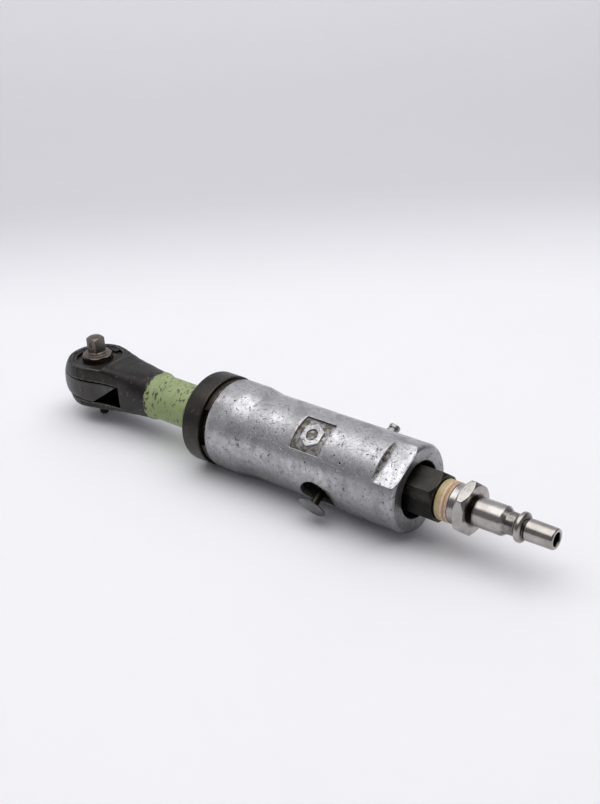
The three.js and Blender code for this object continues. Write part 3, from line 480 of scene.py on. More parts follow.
def cast_aluminium():
    p = Paint("cast_aluminium")
    x, _, height = p.position()
    radius = p.from_axis()
    blotch = p.patches(0.38, 0.62, 13, detail=6)
    mottle = p.patches(0.38, 0.64, 2.6, detail=5, seed=23)
    stain = p.patches(0.52, 0.68, 8, detail=6, seed=3)
    fine = p.noise(0.7, detail=4, seed=8)
    nicks = p.nicks(1.7, 0.53, seed=2)
    deep = p.nicks(2.8, 0.58, seed=12)
    pits = p.specks(1.9, 4, (0.18, 0.1), p.patches(0.53, 0.57, 6, seed=6))
    lines = p.most(p.scratches(0.4, (0, 25, 40), 1), p.scratches(0.5, (30, -20, -35), 7))
    # painted shade: the lower flank and the rear face are painted darker
    rear = p.times(p.step(x, HOUSING_END - 0.8, HOUSING_END - 0.3), 0.7)
    low = p.most(p.step(height, 7.0, -9.0), rear)
    # brown dirt lies in the recess, the wells and along the step of the wrench flat; painted shade
    # darkens the crevices, and the deep parts of the wells and the counterbore are painted near
    # black as shade
    ahead = p.step(x, FLAT_START, FLAT_START - 1)
    sunk = p.times(ahead, p.step(radius, HOUSING_RADIUS - 0.4, HOUSING_RADIUS - 0.65))
    # painted shade: masks for the deep parts of the wells and for the counterbore
    deep_well_shade = p.times(ahead, p.step(radius, 17.6, 16.0))
    inside = p.step(radius, COUNTERBORE + 0.5, COUNTERBORE - 0.1)
    bore = p.times(p.step(x, COUNTERBORE_FLOOR - 2.5, COUNTERBORE_FLOOR - 1.5), inside)
    step_dirt = p.times(p.near(x, FLAT_START + 0.2, 1.5, 0.1), p.step(radius, 18.3, 17.6))
    # painted shade in the crevices that ambient occlusion finds, in patches, with real dirt along
    # the step of the wrench flat
    corner = p.times(p.crevices(2.4, 0.75, 0.35), p.patches(0.32, 0.55, 3, seed=31))
    corner = p.most(corner, p.times(step_dirt, p.patches(0.35, 0.6, 1.5, seed=33)))
    patchy = p.between(p.patches(0.38, 0.62, 2.0, detail=4, seed=30), 0.3, 0.95)
    dirt_and_crevice_shade = p.most(p.times(sunk, patchy), corner)
    base = p.mix(blotch, (0.58, 0.575, 0.59), (0.45, 0.445, 0.46))
    base = p.mix(p.times(mottle, 0.42), base, (0.27, 0.267, 0.277))
    base = p.mix(p.times(stain, 0.45), base, (0.19, 0.185, 0.19))
    base = p.mix(p.times(fine, 0.35), base, (0.6, 0.6, 0.61))
    # painted shade on the lower flank and the rear face
    base = p.mix(p.times(low, 0.66), base, (0.13, 0.128, 0.13))
    base = p.mix(p.times(nicks, 0.6), base, (0.12, 0.115, 0.115))
    base = p.mix(p.times(deep, 0.85), base, (0.07, 0.065, 0.06))
    base = p.mix(p.times(pits, 0.85), base, (0.04, 0.036, 0.032))
    base = p.mix(p.times(p.edges(), 0.4), base, (0.62, 0.62, 0.63))
    # brown dirt in the recess and the wells, with painted shade in the crevices
    base = p.mix(dirt_and_crevice_shade, base, (0.1, 0.082, 0.058))
    # painted shade: the deep parts of the wells and the counterbore are painted near black
    base = p.mix(p.most(deep_well_shade, bore), base, (0.022, 0.02, 0.015))
    dull = p.most(dirt_and_crevice_shade, bore, deep_well_shade)
    rough = p.plus(p.between(blotch, 0.27, 0.37), p.times(dull, 0.3))
    rough = p.plus(rough, p.times(mottle, 0.09))
    rough = p.less(rough, p.times(lines, 0.08))
    waves = p.plus(p.noise(7, detail=2, seed=20), p.times(mottle, 0.12))
    lumps = p.bump(waves, 0.13, soft_edge=0.35)
    marks = p.plus(p.times(nicks, 0.5), p.plus(deep, pits))
    marks = p.bump(p.less(1.0, marks), 0.1, normal=lumps)
    grain = p.bump(p.plus(fine, p.times(lines, 0.4)), 0.03, normal=marks)
    return p.finish(base, rough, grain, p.between(dull, 1.0, 0.25))


def black_steel(name, dark, worn, rough=0.42, shade_and_stain=None, edge_reach=0.5, edge_low=0.006):
    """Blacked steel, worn bright at its edges; the optional mask paints a region of a part near
    black as shade.
    """
    p = Paint(name)
    cloud = p.noise(10, detail=4)
    fine = p.noise(0.7, detail=3, seed=4)
    rust = p.patches(0.56, 0.72, 5, detail=5, seed=9)
    nicks = p.nicks(4.0, 0.62, seed=3)
    specks = p.specks(3.2, 7, (0.13, 0.07), p.patches(0.54, 0.6, 9, seed=16))
    edge = p.edges(edge_reach, edge_low)
    edge = p.times(edge, p.patches(0.3, 0.6, 1.6, seed=11))
    base = p.mix(p.step(cloud, 0.35, 0.7), dark, tuple(1.5 * c for c in dark))
    base = p.mix(p.times(rust, 0.35), base, (0.1, 0.07, 0.045))
    base = p.mix(p.times(edge, 0.8), base, worn)
    base = p.mix(p.times(nicks, 0.5), base, worn)
    base = p.mix(p.times(specks, 0.8), base, (0.3, 0.28, 0.22))
    # painted shade: crevices found by ambient occlusion are darkened nearly to black
    dirt_and_crevice_shade = p.crevices(2.5, 0.6, 0.2)
    base = p.mix(dirt_and_crevice_shade, base, (0.012, 0.01, 0.008))
    # painted shade: the region from the optional mask is painted near black
    if shade_and_stain:
        base = p.mix(shade_and_stain(p), base, (0.008, 0.007, 0.006))
    level = p.between(cloud, rough - 0.06, rough + 0.08)
    level = p.less(level, p.times(edge, 0.1))
    lumps = p.bump(p.noise(5, detail=2, seed=21), 0.12, soft_edge=0.3)
    marks = p.bump(p.less(fine, nicks), 0.025, normal=lumps)
    return p.finish(base, level, marks, 0.85)


def turned_steel(name, light, dark, rough, rings=True, crevice_shade_reach=2.5, shade_and_stain=None):
    """Plated steel with the fine rings that a lathe leaves; the optional mask darkens a region:
    painted shade, with stains as well on the plug.
    """
    p = Paint(name)
    stretch = (0.02, 1, 1) if rings else (1, 1, 1)
    lathe = p.noise(5, detail=5, stretch=stretch)
    cloud = p.patches(0.35, 0.68, 6, detail=4, seed=5)
    specks = p.specks(1.6, 2, (0.16, 0.08), p.patches(0.55, 0.6, 4, seed=6))
    # dirt and painted shade: crevices found by ambient occlusion turn dark brown and duller
    dirt_and_crevice_shade = p.crevices(crevice_shade_reach, 0.7, 0.25)
    base = p.mix(cloud, light, dark)
    base = p.mix(p.times(lathe, 0.35), base, tuple(0.55 * c for c in light))
    base = p.mix(p.times(specks, 0.7), base, (0.08, 0.06, 0.045))
    base = p.mix(p.times(dirt_and_crevice_shade, 0.85), base, (0.07, 0.05, 0.03))
    # painted shade, and on the plug stains too: the region from the optional mask is darkened
    if shade_and_stain:
        base = p.mix(shade_and_stain(p), base, (0.03, 0.025, 0.018))
    level = p.between(lathe, rough - 0.05, rough + 0.1)
    level = p.plus(level, p.times(dirt_and_crevice_shade, 0.25))
    return p.finish(base, level, p.bump(lathe, 0.015, soft_edge=0.15), 1.0)


def green_sleeve():
    p = Paint("green_sleeve")
    ragged = p.times(p.less(p.noise(1.6, detail=4, seed=4), 0.5), 3.2)
    x = p.plus(p.position()[0], ragged)
    # painted shade at both ends of the sleeve, beside the barrel and the nut
    front = p.step(x, BARREL_END + 0.9, BARREL_END + 0.6)
    rear = p.step(x, NECK_THREAD_START - 4.4, NECK_THREAD_START - 4.0)
    cloud = p.patches(0.35, 0.7, 8, detail=4)
    dirt = p.times(p.patches(0.55, 0.72, 3.5, detail=6, seed=6), 0.35)
    rubbed = p.patches(0.57, 0.6, 1.3, detail=4, stretch=(1, 2.2, 2.2), seed=12, twist=0.6)
    rubbed = p.times(rubbed, p.patches(0.48, 0.54, 7, detail=2, seed=14))
    nicks = p.times(p.nicks(3.4, 0.55, seed=27), p.patches(0.48, 0.53, 9, detail=1, seed=29))
    scuffs = p.most(rubbed, nicks)
    base = p.mix(cloud, (0.31, 0.375, 0.175), (0.25, 0.315, 0.13))
    base = p.mix(dirt, base, (0.13, 0.14, 0.06))
    base = p.mix(p.times(scuffs, 0.9), base, (0.03, 0.032, 0.02))
    # painted shade: both ends are painted near black and sunk a little in the bump
    shaded_ends = p.most(front, rear)
    base = p.mix(shaded_ends, base, (0.022, 0.022, 0.018))
    level = p.between(cloud, 0.5, 0.62)
    height = p.less(p.noise(2.2, detail=3, seed=18), p.times(shaded_ends, 0.8))
    return p.finish(base, level, p.bump(height, 0.12), 0.0)


def amber_tape():
    p = Paint("thread_tape")
    shift = p.times(p.less(p.noise(1.4), 0.5), 0.8)
    x = p.less(p.plus(p.position()[0], shift), BUSHING_END)
    base = p.mix(p.step(x, 1.2, 2.0), (0.46, 0.43, 0.2), (0.6, 0.42, 0.24))
    bands = ((2.9, (0.68, 0.6, 0.45)), (3.8, (0.5, 0.27, 0.12)), (4.9, (0.6, 0.48, 0.36)))
    for start, tone in bands:
        base = p.mix(p.step(x, start, start + 0.3), base, tone)
    streaks = p.patches(0.5, 0.72, 1.6, detail=4, stretch=(0.12, 1, 1), seed=3)
    base = p.mix(p.times(streaks, 0.6), base, (0.28, 0.16, 0.06))
    # painted shade: the crevices between the windings are darkened brown
    base = p.mix(p.crevices(1.2, 0.7, 0.3), base, (0.12, 0.07, 0.03))
    p.shader.inputs["Coat Weight"].default_value = 0.3
    return p.finish(base, p.between(streaks, 0.3, 0.5), p.bump(streaks, 0.05), 0.0)


def plain(name, base, second, rough, metallic, size=2.0):
    """A simple finish for the parts inside the tool."""
    p = Paint(name)
    cloud = p.patches(0.35, 0.68, size, detail=5)
    fine = p.noise(0.4, detail=3, seed=3)
    edge = p.times(p.edges(), 0.4)
    mixed = p.mix(edge, p.mix(cloud, base, second), tuple(min(1.0, 1.5 * c) for c in base))
    return p.finish(mixed, p.between(cloud, rough, rough + 0.12), p.bump(fine, 0.02, 0.1), metallic)


def slot_shade(p):
    """Painted shade: the walls of the head's slot are painted near black."""
    x, y, height = p.position()
    level = p.near(height, (SLOT_TOP + SLOT_BOTTOM) / 2, 5.8, 5.4)
    across = p.near(y, 0.0, 10.4, 9.9)
    return p.times(p.times(across, level), p.step(x, SLOT_END + 0.2, SLOT_END - 0.1))


def ramp_shade(p):
    """Painted shade: the yoke's flanks behind the teeth are painted near black."""
    x, y, _ = p.position()
    return p.times(p.step(x, 8.0, 9.5), p.near(y, 0.0, 9.0, 7.4))


def plug_bore_shade_and_stains(p):
    """Painted shade in the bore, and dark stains in the grooves beside the bead and the hexagon and
    in patches on the neck.
    """
    x = p.position()[0]
    radius = p.from_axis()
    # painted shade: the bore is darkened
    bore = p.step(radius, PLUG_BORE + 0.3, PLUG_BORE)
    inner = p.times(p.near(x, PLUG_HEX_END + 0.5, 1.2, 0.7), p.step(radius, 7.6, 5.6))
    outer = p.times(p.near(x, 236.6, 0.9, 0.3), 0.8)
    stains = p.between(p.patches(0.4, 0.65, 2, detail=4, seed=41), 0.35, 0.65)
    return p.most(bore, inner, outer, p.times(p.near(x, 230.6, 3.2, 1.6), stains))


def stem_shade(p):
    """Painted shade: the button's stem, inside its well, is painted near black."""
    return p.times(p.step(p.from_axis(), BUTTON_TOP - 1.6, BUTTON_TOP - 2.3), 0.93)


def bushing_shade(p):
    """Painted shade: the lower faces of the inlet's hexagon are painted darker than the upper ones.
    """
    return p.times(p.step(p.position()[2], 3.5, 1.5), 0.75)


# the masks passed to the steels paint regions near black as shade; the plug's mask also carries
# stains
PAINTS = {
    "aluminium": cast_aluminium(),
    "head": black_steel("head_steel", (0.026, 0.024, 0.023), (0.26, 0.24, 0.22),
                        shade_and_stain=slot_shade, edge_reach=0.9, edge_low=0.002),
    "nut": black_steel("nut_steel", (0.032, 0.03, 0.027), (0.26, 0.235, 0.21), rough=0.38),
    "hex": black_steel("hex_steel", (0.03, 0.028, 0.026), (0.2, 0.15, 0.1),
                       rough=0.34, shade_and_stain=bushing_shade),
    "lever": black_steel("lever_steel", (0.02, 0.019, 0.018), (0.12, 0.11, 0.1)),
    "yoke": black_steel("yoke_steel", (0.055, 0.053, 0.052), (0.22, 0.2, 0.17),
                        rough=0.36, shade_and_stain=ramp_shade),
    "exhaust": black_steel("exhaust_steel", (0.03, 0.024, 0.02), (0.36, 0.27, 0.2), rough=0.4),
    "anvil": turned_steel("anvil_steel", (0.2, 0.18, 0.16), (0.11, 0.09, 0.075),
                          rough=0.34, rings=False, crevice_shade_reach=3.0),
    "plug": turned_steel("plug_steel", (0.5, 0.475, 0.45), (0.36, 0.335, 0.31),
                         rough=0.2, shade_and_stain=plug_bore_shade_and_stains),
    "screw": turned_steel("screw_steel", (0.36, 0.36, 0.35), (0.2, 0.2, 0.19),
                          rough=0.3, rings=False),
    "button": turned_steel("button_steel", (0.24, 0.24, 0.23), (0.13, 0.13, 0.125),
                           rough=0.34, rings=False, shade_and_stain=stem_shade),
    "green": green_sleeve(),
    "tape": amber_tape(),
    "hardened": plain("hardened_steel", (0.3, 0.3, 0.31), (0.2, 0.2, 0.21), 0.28, 1.0),
    "bright": plain("bright_steel", (0.5, 0.49, 0.47), (0.4, 0.39, 0.37), 0.22, 1.0),
    "spring": plain("spring_steel", (0.28, 0.28, 0.3), (0.16, 0.15, 0.15), 0.3, 1.0, size=1.0),
    "bronze": plain("bearing_bronze", (0.4, 0.26, 0.12), (0.26, 0.16, 0.08), 0.36, 1.0),
    "rubber": plain("seal_rubber", (0.02, 0.02, 0.02), (0.035, 0.033, 0.03), 0.55, 0.0),
    "resin": plain("vane_resin", (0.17, 0.09, 0.045), (0.11, 0.055, 0.03), 0.5, 0.0),
}
SMOOTH_ANGLE = math.radians(32)


def deliver(obj, node, body, paint):
    """Moves a finished piece into the row frame, in metres, as the stand-in for a CAD node."""
    obj.data.transform(Matrix.Scale(MM, 4) @ Matrix.Translation((0, 0, -DRIVE_TIP)))
    obj.data.materials.clear()
    obj.data.materials.append(PAINTS[paint])
    obj.data.shade_smooth()
    obj.data.set_sharp_from_angle(angle=SMOOTH_ANGLE)
    obj.name = node + ".look"
    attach(obj, body)
    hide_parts(node)


# ---------- head ----------
# the head's cross-sections: x, half width, half height, and the power of the superellipse
HEAD_SECTIONS = [
    (0, HEAD_WIDTH, 12.0, 9), (5, 13.9, 12.0, 9), (HEAD_FLAT_END, 11.5, 11.4, 8),
    (19, 10.9, 11.0, 6), (SLOT_END, 10.6, 10.8, 4.6), (33, 10.85, 10.85, 2.8),
    (BARREL_END - 0.8, BARREL_RADIUS, BARREL_RADIUS, 2), (BARREL_END, 10.7, 10.7, 2),
]


def superellipse(half_width, half_height, power, turn):
    c, s = math.cos(turn), math.sin(turn)
    y = half_width * math.copysign(abs(c) ** (2 / power), c)
    z = half_height * math.copysign(abs(s) ** (2 / power), s)
    return y, z


def head_barrel():
    rings = []
    for low, high in zip(HEAD_SECTIONS, HEAD_SECTIONS[1:]):
        parts = max(1, round((high[0] - low[0]) / 1.5))
        for k in range(parts):
            share = k / parts
            rings.append([a + (b - a) * share for a, b in zip(low, high)])
    rings.append(list(HEAD_SECTIONS[-1]))
    steps = 144
    shapes = []
    for x, half_width, half_height, power in rings:
        middle = HEAD_MIDDLE * (1 - min(x / BARREL_END, 1.0))
        ring = []
        for k in range(steps):
            turn = (k + 0.5) * 2 * math.pi / steps
            y, z = superellipse(half_width, half_height, power, turn)
            ring.append((x, y, z + middle))
        shapes.append(ring)
    return skin(shapes)


# the ellipse that each nose is at some height: height, reach forward, half width
EAR_NOSE = [
    (HEAD_BOTTOM, 13.4, 13.9), (-9.6, 14.8, 14.3), (SLOT_BOTTOM, 16.3, 14.5),
    (-4, 18.2, HEAD_WIDTH), (0, 19.4, HEAD_WIDTH), (SLOT_TOP, 18.3, HEAD_WIDTH),
    (6.7, 16.4, 14.55), (9.2, 14.4, 14.25), (HEAD_TOP, 13.8, 14.1),
]
YOKE_NOSE = [
    (-8, 17.5, 13.9), (-6.6, 19.0, 14.3), (-5, 19.8, 14.35), (-3, 20.1, 14.35),
    (0, 19.8, 14.35), (3, 18.9, 14.35), (4, 18.2, 14.2),
]


def nose(levels, back):
    """A block whose front is half an ellipse that changes with height."""
    steps = 72
    rings = []
    for low, high in zip(levels, levels[1:] + [levels[-1]]):
        parts = 4 if low != high else 1
        for k in range(parts):
            z, reach, half = (a + (b - a) * k / parts for a, b in zip(low, high))
            ring = [(back, -half, z), (back, half, z)]
            for i in range(steps + 1):
                turn = math.pi * i / steps
                ring.append((-reach * math.sin(turn), half * math.cos(turn), z))
            rings.append(ring)
    return skin(rings)


def neck():
    return lathe([
        (BARREL_END - 6, 0, 0), (BARREL_END - 6, 9.5), (BARREL_END - 1, 9.8),
        (NECK_START, NECK_RADIUS), (NECK_THREAD_START, NECK_RADIUS - 0.2),
        (NECK_THREAD_START, NECK_THREAD_RADIUS), (NECK_END, NECK_THREAD_RADIUS), (NECK_END, 0, 0),
    ], 0.3, 2.0)


def ratchet_housing():
    body = join(head_barrel(), nose(EAR_NOSE, 1.0))
    cut(
        body,
        box((-FAR, -FAR, HEAD_TOP), (HEAD_FLAT_END, FAR, FAR)),
        box((-FAR, -FAR, -FAR), (FAR, FAR, HEAD_BOTTOM)),
        box((-FAR, -FAR, SLOT_BOTTOM), (SLOT_END, FAR, SLOT_TOP)),
        rod(SLOT_TOP - 1, POCKET_FLOOR + 1, EAR_BORE, DRIVE),
        rod(POCKET_FLOOR, FAR, POCKET_RADIUS, DRIVE),
        rod(-FAR, SLOT_BOTTOM + 1, LOWER_BORE, DRIVE),
    )
    join(body, neck())
    cut(body, rod(SLOT_END - 3, 36, 9.5), rod(35, NECK_END + 1, 8.0))
    return worn_down(body)


def neck_band():
    """A printed sleeve whose two ends are torn unevenly."""
    inner, rim, outer, steps, length = 0.15, 0.36, 0.43, 180, 60
    end = NECK_THREAD_START - 0.3

    def radius(x):
        if x < NECK_START + 0.2:
            share = (x - BARREL_END - 0.2) / (NECK_START - BARREL_END)
            share = share * share * (3 - 2 * share)
            return BARREL_RADIUS + (NECK_RADIUS - BARREL_RADIUS) * share
        return NECK_RADIUS - 0.2 * (x - NECK_START) / (end - NECK_START)

    def ring(share, height):
        points = []
        for k in range(steps):
            turn = 2 * math.pi * k / steps
            spot = Vector((math.cos(turn), math.sin(turn), 0.0)) * 4
            start = BARREL_END + 0.5 + 0.3 * noise.noise(spot)
            stop = end - 0.3 - 0.3 * noise.noise(spot + Vector((9, 0, 0)))
            x = start + (stop - start) * share
            swell = 0.06 * noise.noise(spot * 0.6 + Vector((0, 0, x * 0.35)))
            r = radius(x) + height + (swell if height > inner else 0.0)
            points.append((x, r * math.cos(turn), r * math.sin(turn)))
        return points

    rings = [ring(k / length, inner) for k in range(length, -1, -1)]
    rings.append(ring(0.0, rim))
    rings += [ring(k / length, outer) for k in range(1, length)]
    rings.append(ring(1.0, rim))
    return skin(rings, loop=True)


def yoke():
    half, end, fork_start, fork_half, reach = 6.8, 33.0, 24.8, 5.4, 25.0
    wing = SLOT_END - 1.1
    left = [(wing, half, 0.3), (wing, 10.2, 0.2), (HEAD_FLAT_END, 11.2, 1.0), (7.4, 13.6, 2.5),
            (0, HEAD_WIDTH, 0), (-reach, HEAD_WIDTH, 0)]
    right = [(x, -y, r) for x, y, r in reversed(left)]
    fork = [(end, -half, 0.3), (end, -fork_half, 0.3), (fork_start, -fork_half, 0.3),
            (fork_start, fork_half, 0.3), (end, fork_half, 0.3), (end, half, 0.3)]
    body = prism(soften(left + right + fork, 0.3), SLOT_BOTTOM + 0.3, SLOT_TOP - 0.8, DRIVE)
    overlap(body, nose(YOKE_NOSE, end + 1))
    count = 60
    teeth = []
    for k in range(2 * count):
        turn, r = k * math.pi / count, (9.9 if k % 2 else 9.3)
        teeth.append((r * math.cos(turn), r * math.sin(turn)))

    def ramp(x, z, low, high):
        """A cutter below a slope that climbs from behind the teeth to (x, z)."""
        last, under = SLOT_END - 1, SLOT_BOTTOM - 1.5
        outline = [(8, under), (8, SLOT_BOTTOM), (x, z), (last, z), (last, under)]
        return prism(outline, low, high, frame_at((0, -1, 0)))

    core, side = 4.2, (SLOT_END - 1.2, SLOT_TOP - 0.1)
    cut(
        body,
        prism(teeth, -reach, reach, DRIVE),
        ramp(19, -2.2, -reach, reach),
        ramp(*side, -reach, -core),
        ramp(*side, core, reach),
        box((SLOT_END - 2, -10, SLOT_BOTTOM - 1), (FAR, 10, -3.2)),
        box((SLOT_END - 2, -10, 3.2), (FAR, 10, SLOT_TOP + 1)),
    )
    return worn_down(body)


def anvil():
    turned_part = lathe([
        (HEAD_BOTTOM, 0, 0), (HEAD_BOTTOM, LOWER_BORE - 0.15), (-7.2, LOWER_BORE - 0.15),
        (-7.2, 8.6), (3.2, 8.6), (3.2, 9.0), (7.3, 9.0), (7.3, 7.3),
        (11.0, 7.3, 0.5), (11.4, 6.7, 0.3), (11.4, 0, 0),
    ], 0.25, 0.8, DRIVE, 144)
    square = prism(soften(square_outline(3.25), 0.7, 5), 8.0, DRIVE_TIP, DRIVE)
    crown = lathe([
        (8.0, 0, 0), (8.0, 5.0), (DRIVE_TIP - 1.3, 5.0, 0.5), (DRIVE_TIP - 0.15, 3.1, 0.8),
        (DRIVE_TIP, 2.4, 0.3), (DRIVE_TIP, 0, 0),
    ], 0.2, 0.6, DRIVE, 96)
    overlap(square, crown)
    foot = lathe([
        (11.0, 0, 0), (11.0, 5.8), (11.55, 4.9, 0.8), (12.8, 4.2, 1.0), (12.8, 0, 0),
    ], 0.3, 0.5, DRIVE, 96)
    flats = prism(soften(polygon(6, 8.0, 10), 1.6, 6), 7.0, 12.0, DRIVE, bevel=0.4)
    collar = overlap(lathe([
        (7.2, 0, 0), (7.2, 7.3), (10.9, 7.3, 0.5), (11.4, 6.7, 0.4), (11.4, 0, 0),
    ], 0.2, 0.6, DRIVE, 144), flats)
    cut(turned_part, turned([(7.3, 0), (7.3, 12.0), (13.0, 12.0), (13.0, 0)], DRIVE, 96))
    join(turned_part, collar, foot, square)
    ball_bore = frame_at((0, -1, 0), (0, 0, BALL_HEIGHT))
    cut(
        turned_part,
        box((-12, -2.4, -6.0), (12, 2.4, 2.4)),
        rod(-4.6, 1.2, 3.8, DRIVE),
        rod(HEAD_BOTTOM - 1, 1.2, 2.05, DRIVE),
        rod(0, 4.4, 1.15, ball_bore, 48),
        rod(-6.9, 4.6, 1.3, frame_at((0, 0, 1), (-5.4, 0, 0)), 32),
    )
    return turned_part


def socket_ball():
    return turned(arc(1.0, 0, 180, 24), frame_at((0, -1, 0), (0, -2.5, BALL_HEIGHT)), 48)


def retaining_ring():
    outer, inner, opening = POCKET_RADIUS - 0.15, 10.2, 14
    outline = arc(outer, opening, 360 - opening, 96)
    outline += arc(inner - 0.9, 360 - opening, 360 - 2.2 * opening, 6)
    outline += arc(inner, 360 - 2.6 * opening, 2.6 * opening, 80)
    outline += arc(inner - 0.9, 2.2 * opening, opening, 6)
    base = POCKET_FLOOR + 1.1
    turn = DRIVE @ Matrix.Rotation(math.radians(60), 4, "X")
    return prism(outline, base, base + 0.8, turn, bevel=0.12, segments=2)


def friction_washer():
    base, inner, outer = POCKET_FLOOR + 0.2, 7.45, POCKET_RADIUS - 0.15
    top = base + 0.6
    outline = [(base, inner), (base, outer), (top, outer), (top, inner)]
    ring = turned(soften(outline, 0.12), DRIVE, 120)
    low, high = (base - 1, POCKET_RADIUS - 1.5, -0.8), (base + 2, POCKET_RADIUS + 2, 0.8)
    notches = []
    for k in range(6):
        place = DRIVE @ Matrix.Rotation(k * math.pi / 3 + 0.4, 4, "X")
        notches.append(box(low, high, 0.2, place))
    return cut(ring, *notches)


def reverse_lever():
    disc_bottom, fin_bottom = -14.6, -19.4
    place = DRIVE @ Matrix.Rotation(math.radians(-45), 4, "X")
    body = lathe([
        (disc_bottom, 0, 0), (disc_bottom, 6.2, 0.6), (HEAD_BOTTOM - 0.3, 6.2),
        (HEAD_BOTTOM - 0.3, 1.9), (0.9, 1.9), (0.9, 0, 0),
    ], 0.2, 0.8, place, 96)
    fin = arc(2.1, -90, 90, 12, (3.3, 0)) + arc(2.1, 90, 270, 12, (-3.3, 0))
    join(body, prism(fin, fin_bottom, disc_bottom + 0.5, place, bevel=0.6))
    return cut(body, rod(-2.8, 1.2, 1.0, place @ frame_at((0, 1, 0), (-1.8, 0, 0)), 32))


# ---------- coupling and housing ----------
def coupling_nut():
    lip, inside = NECK_THREAD_RADIUS + 0.15, SPIGOT_RADIUS + 0.3
    return lathe([
        (NUT_START, lip), (NUT_START, NUT_RADIUS - 2.2, 0.5), (NUT_START + 2.2, NUT_RADIUS, 0.9),
        (NUT_END, NUT_RADIUS, 0.45), (NUT_END, inside), (SPIGOT_START - 1, inside),
        (SPIGOT_START - 1, lip),
    ], 0.3, 1.0, steps=200, corner=5)


def exhaust_ring():
    start, end = NUT_END + 0.3, HOUSING_START - 0.3
    ring = lathe([
        (start, SPIGOT_RADIUS + 0.2), (start, 19.4), (end, 19.4), (end, SPIGOT_RADIUS + 0.2),
    ], 0.25, 0.8, steps=200)
    mouths = []
    for middle in (165, 285, 45):
        low, high = middle - 25, middle + 25
        wedge = arc(OUTSIDE, low, high, 12) + arc(SPIGOT_RADIUS + 0.8, high, low, 24)
        mouths.append(prism(wedge, start - 1, end + 1))
    return cut(ring, *mouths)


def stadium(half_length, half_width, middle):
    reach = half_length - half_width
    return (arc(half_width, -90, 90, 20, (middle + reach, 0))
            + arc(half_width, 90, 270, 20, (middle - reach, 0)))


def motor_housing():
    bore, inlet, motor_floor, inlet_floor = 15.6, 7.6, 140.6, 169.0
    body = lathe([
        (SPIGOT_START, bore, 0.2), (SPIGOT_START, SPIGOT_RADIUS, 0.2),
        (HOUSING_START, SPIGOT_RADIUS, 0.1), (HOUSING_START, BULGE_RADIUS, 1.1),
        (101.0, BULGE_RADIUS, 7.0), (109.0, HOUSING_RADIUS, 9.0),
        (HOUSING_END - 1.2, HOUSING_RADIUS, 2.0), (HOUSING_END, HOUSING_RADIUS - 1.6, 1.2),
        (HOUSING_END, COUNTERBORE, 0.5), (COUNTERBORE_FLOOR, COUNTERBORE, 0.4),
        (COUNTERBORE_FLOOR, inlet, 0.3), (inlet_floor, inlet, 0.1),
        (inlet_floor, 4.5, 0.1), (motor_floor, 4.5, 0.1), (motor_floor, bore, 0.1),
    ], 0.3, 1.4, steps=180, corner=6)
    skin_height = on_cylinder(HOUSING_RADIUS)
    emblem = radial(EMBLEM_X, EMBLEM_ANGLE)
    throttle = radial(THROTTLE_X, THROTTLE_ANGLE)
    regulator = radial(REGULATOR_X, REGULATOR_ANGLE)
    recess = dense(soften(square_outline(7.7), 0.6), 0.7)
    cut(body, well(recess, on_cylinder(EMBLEM_FLOOR), skin_height, 0.25, emblem))
    motif = prism(soften(polygon(6, 5.6, 30), 0.5), EMBLEM_FLOOR - 1.4, EMBLEM_FLOOR + 0.5,
                  emblem, bevel=0.2)
    join(body, cut(motif, rod(10, OUTSIDE, 2.7, emblem, 64)))
    flats = [radial(FLAT_START, FLAT_ANGLE + turn) for turn in (0, 180)]
    cut(
        body,
        *(box((15.7, 0, -FAR), (FAR, 14, FAR), 0.3, flat) for flat in flats),
        well(circle(8.5, 96), lambda q: THROTTLE_FLOOR, skin_height, 0.5, throttle),
        rod(-4, THROTTLE_FLOOR + 1, 4.2, throttle, 64),
        well(stadium(9.7, 4.4, -1.7), lambda q: 15.4, skin_height, 0.35, regulator),
        rod(0, 16.4, 3.0, regulator, 48),
        rod(17.2, OUTSIDE, 0.5, radial(160.5, 146), 24),
    )
    return body


# ---------- throttle, regulator and inlet ----------
def throttle_button():
    top, stem, seat = BUTTON_TOP, 1.75, 6.2
    return lathe([
        (seat - 1.9, 0, 0), (seat - 1.9, stem - 0.5), (seat + 0.2, stem - 0.5), (seat + 0.2, stem),
        (top - 2.4, stem, 0.6), (top - 1.5, stem + 0.9, 0.6), (top - 1.3, 5.95, 0.2),
        (top - 0.9, 6.25, 0.3), (top - 0.35, 5.75, 0.5), (top - 0.1, 3.1, 3.0), (top, 0, 0),
    ], 0.1, 0.6, radial(THROTTLE_X, THROTTLE_ANGLE), 96)


def throttle_bush():
    floor, seat = THROTTLE_FLOOR, 6.5
    return lathe([
        (seat, 1.9), (seat, 4.05), (floor + 0.2, 4.05), (floor + 0.2, 5.4),
        (floor + 1.2, 5.4), (floor + 1.2, 2.9), (floor + 0.1, 2.9), (floor + 0.1, 1.9),
    ], 0.15, 0.8, radial(THROTTLE_X, THROTTLE_ANGLE), 72)


def regulator_screw():
    top = 22.7
    place = radial(REGULATOR_X, REGULATOR_ANGLE)
    body = lathe([
        (5.0, 0, 0), (5.0, 2.2), (16.0, 2.2), (16.0, 2.6), (20.2, 2.6), (20.5, 1.9), (21.0, 1.9),
        (21.2, 2.4), (top, 2.4, 0.35), (top, 0, 0),
    ], 0.1, 0.5, place, 64)
    return cut(body, box((top - 0.7, -3, -0.35), (top + 1, 3, 0.35), 0.05, place))


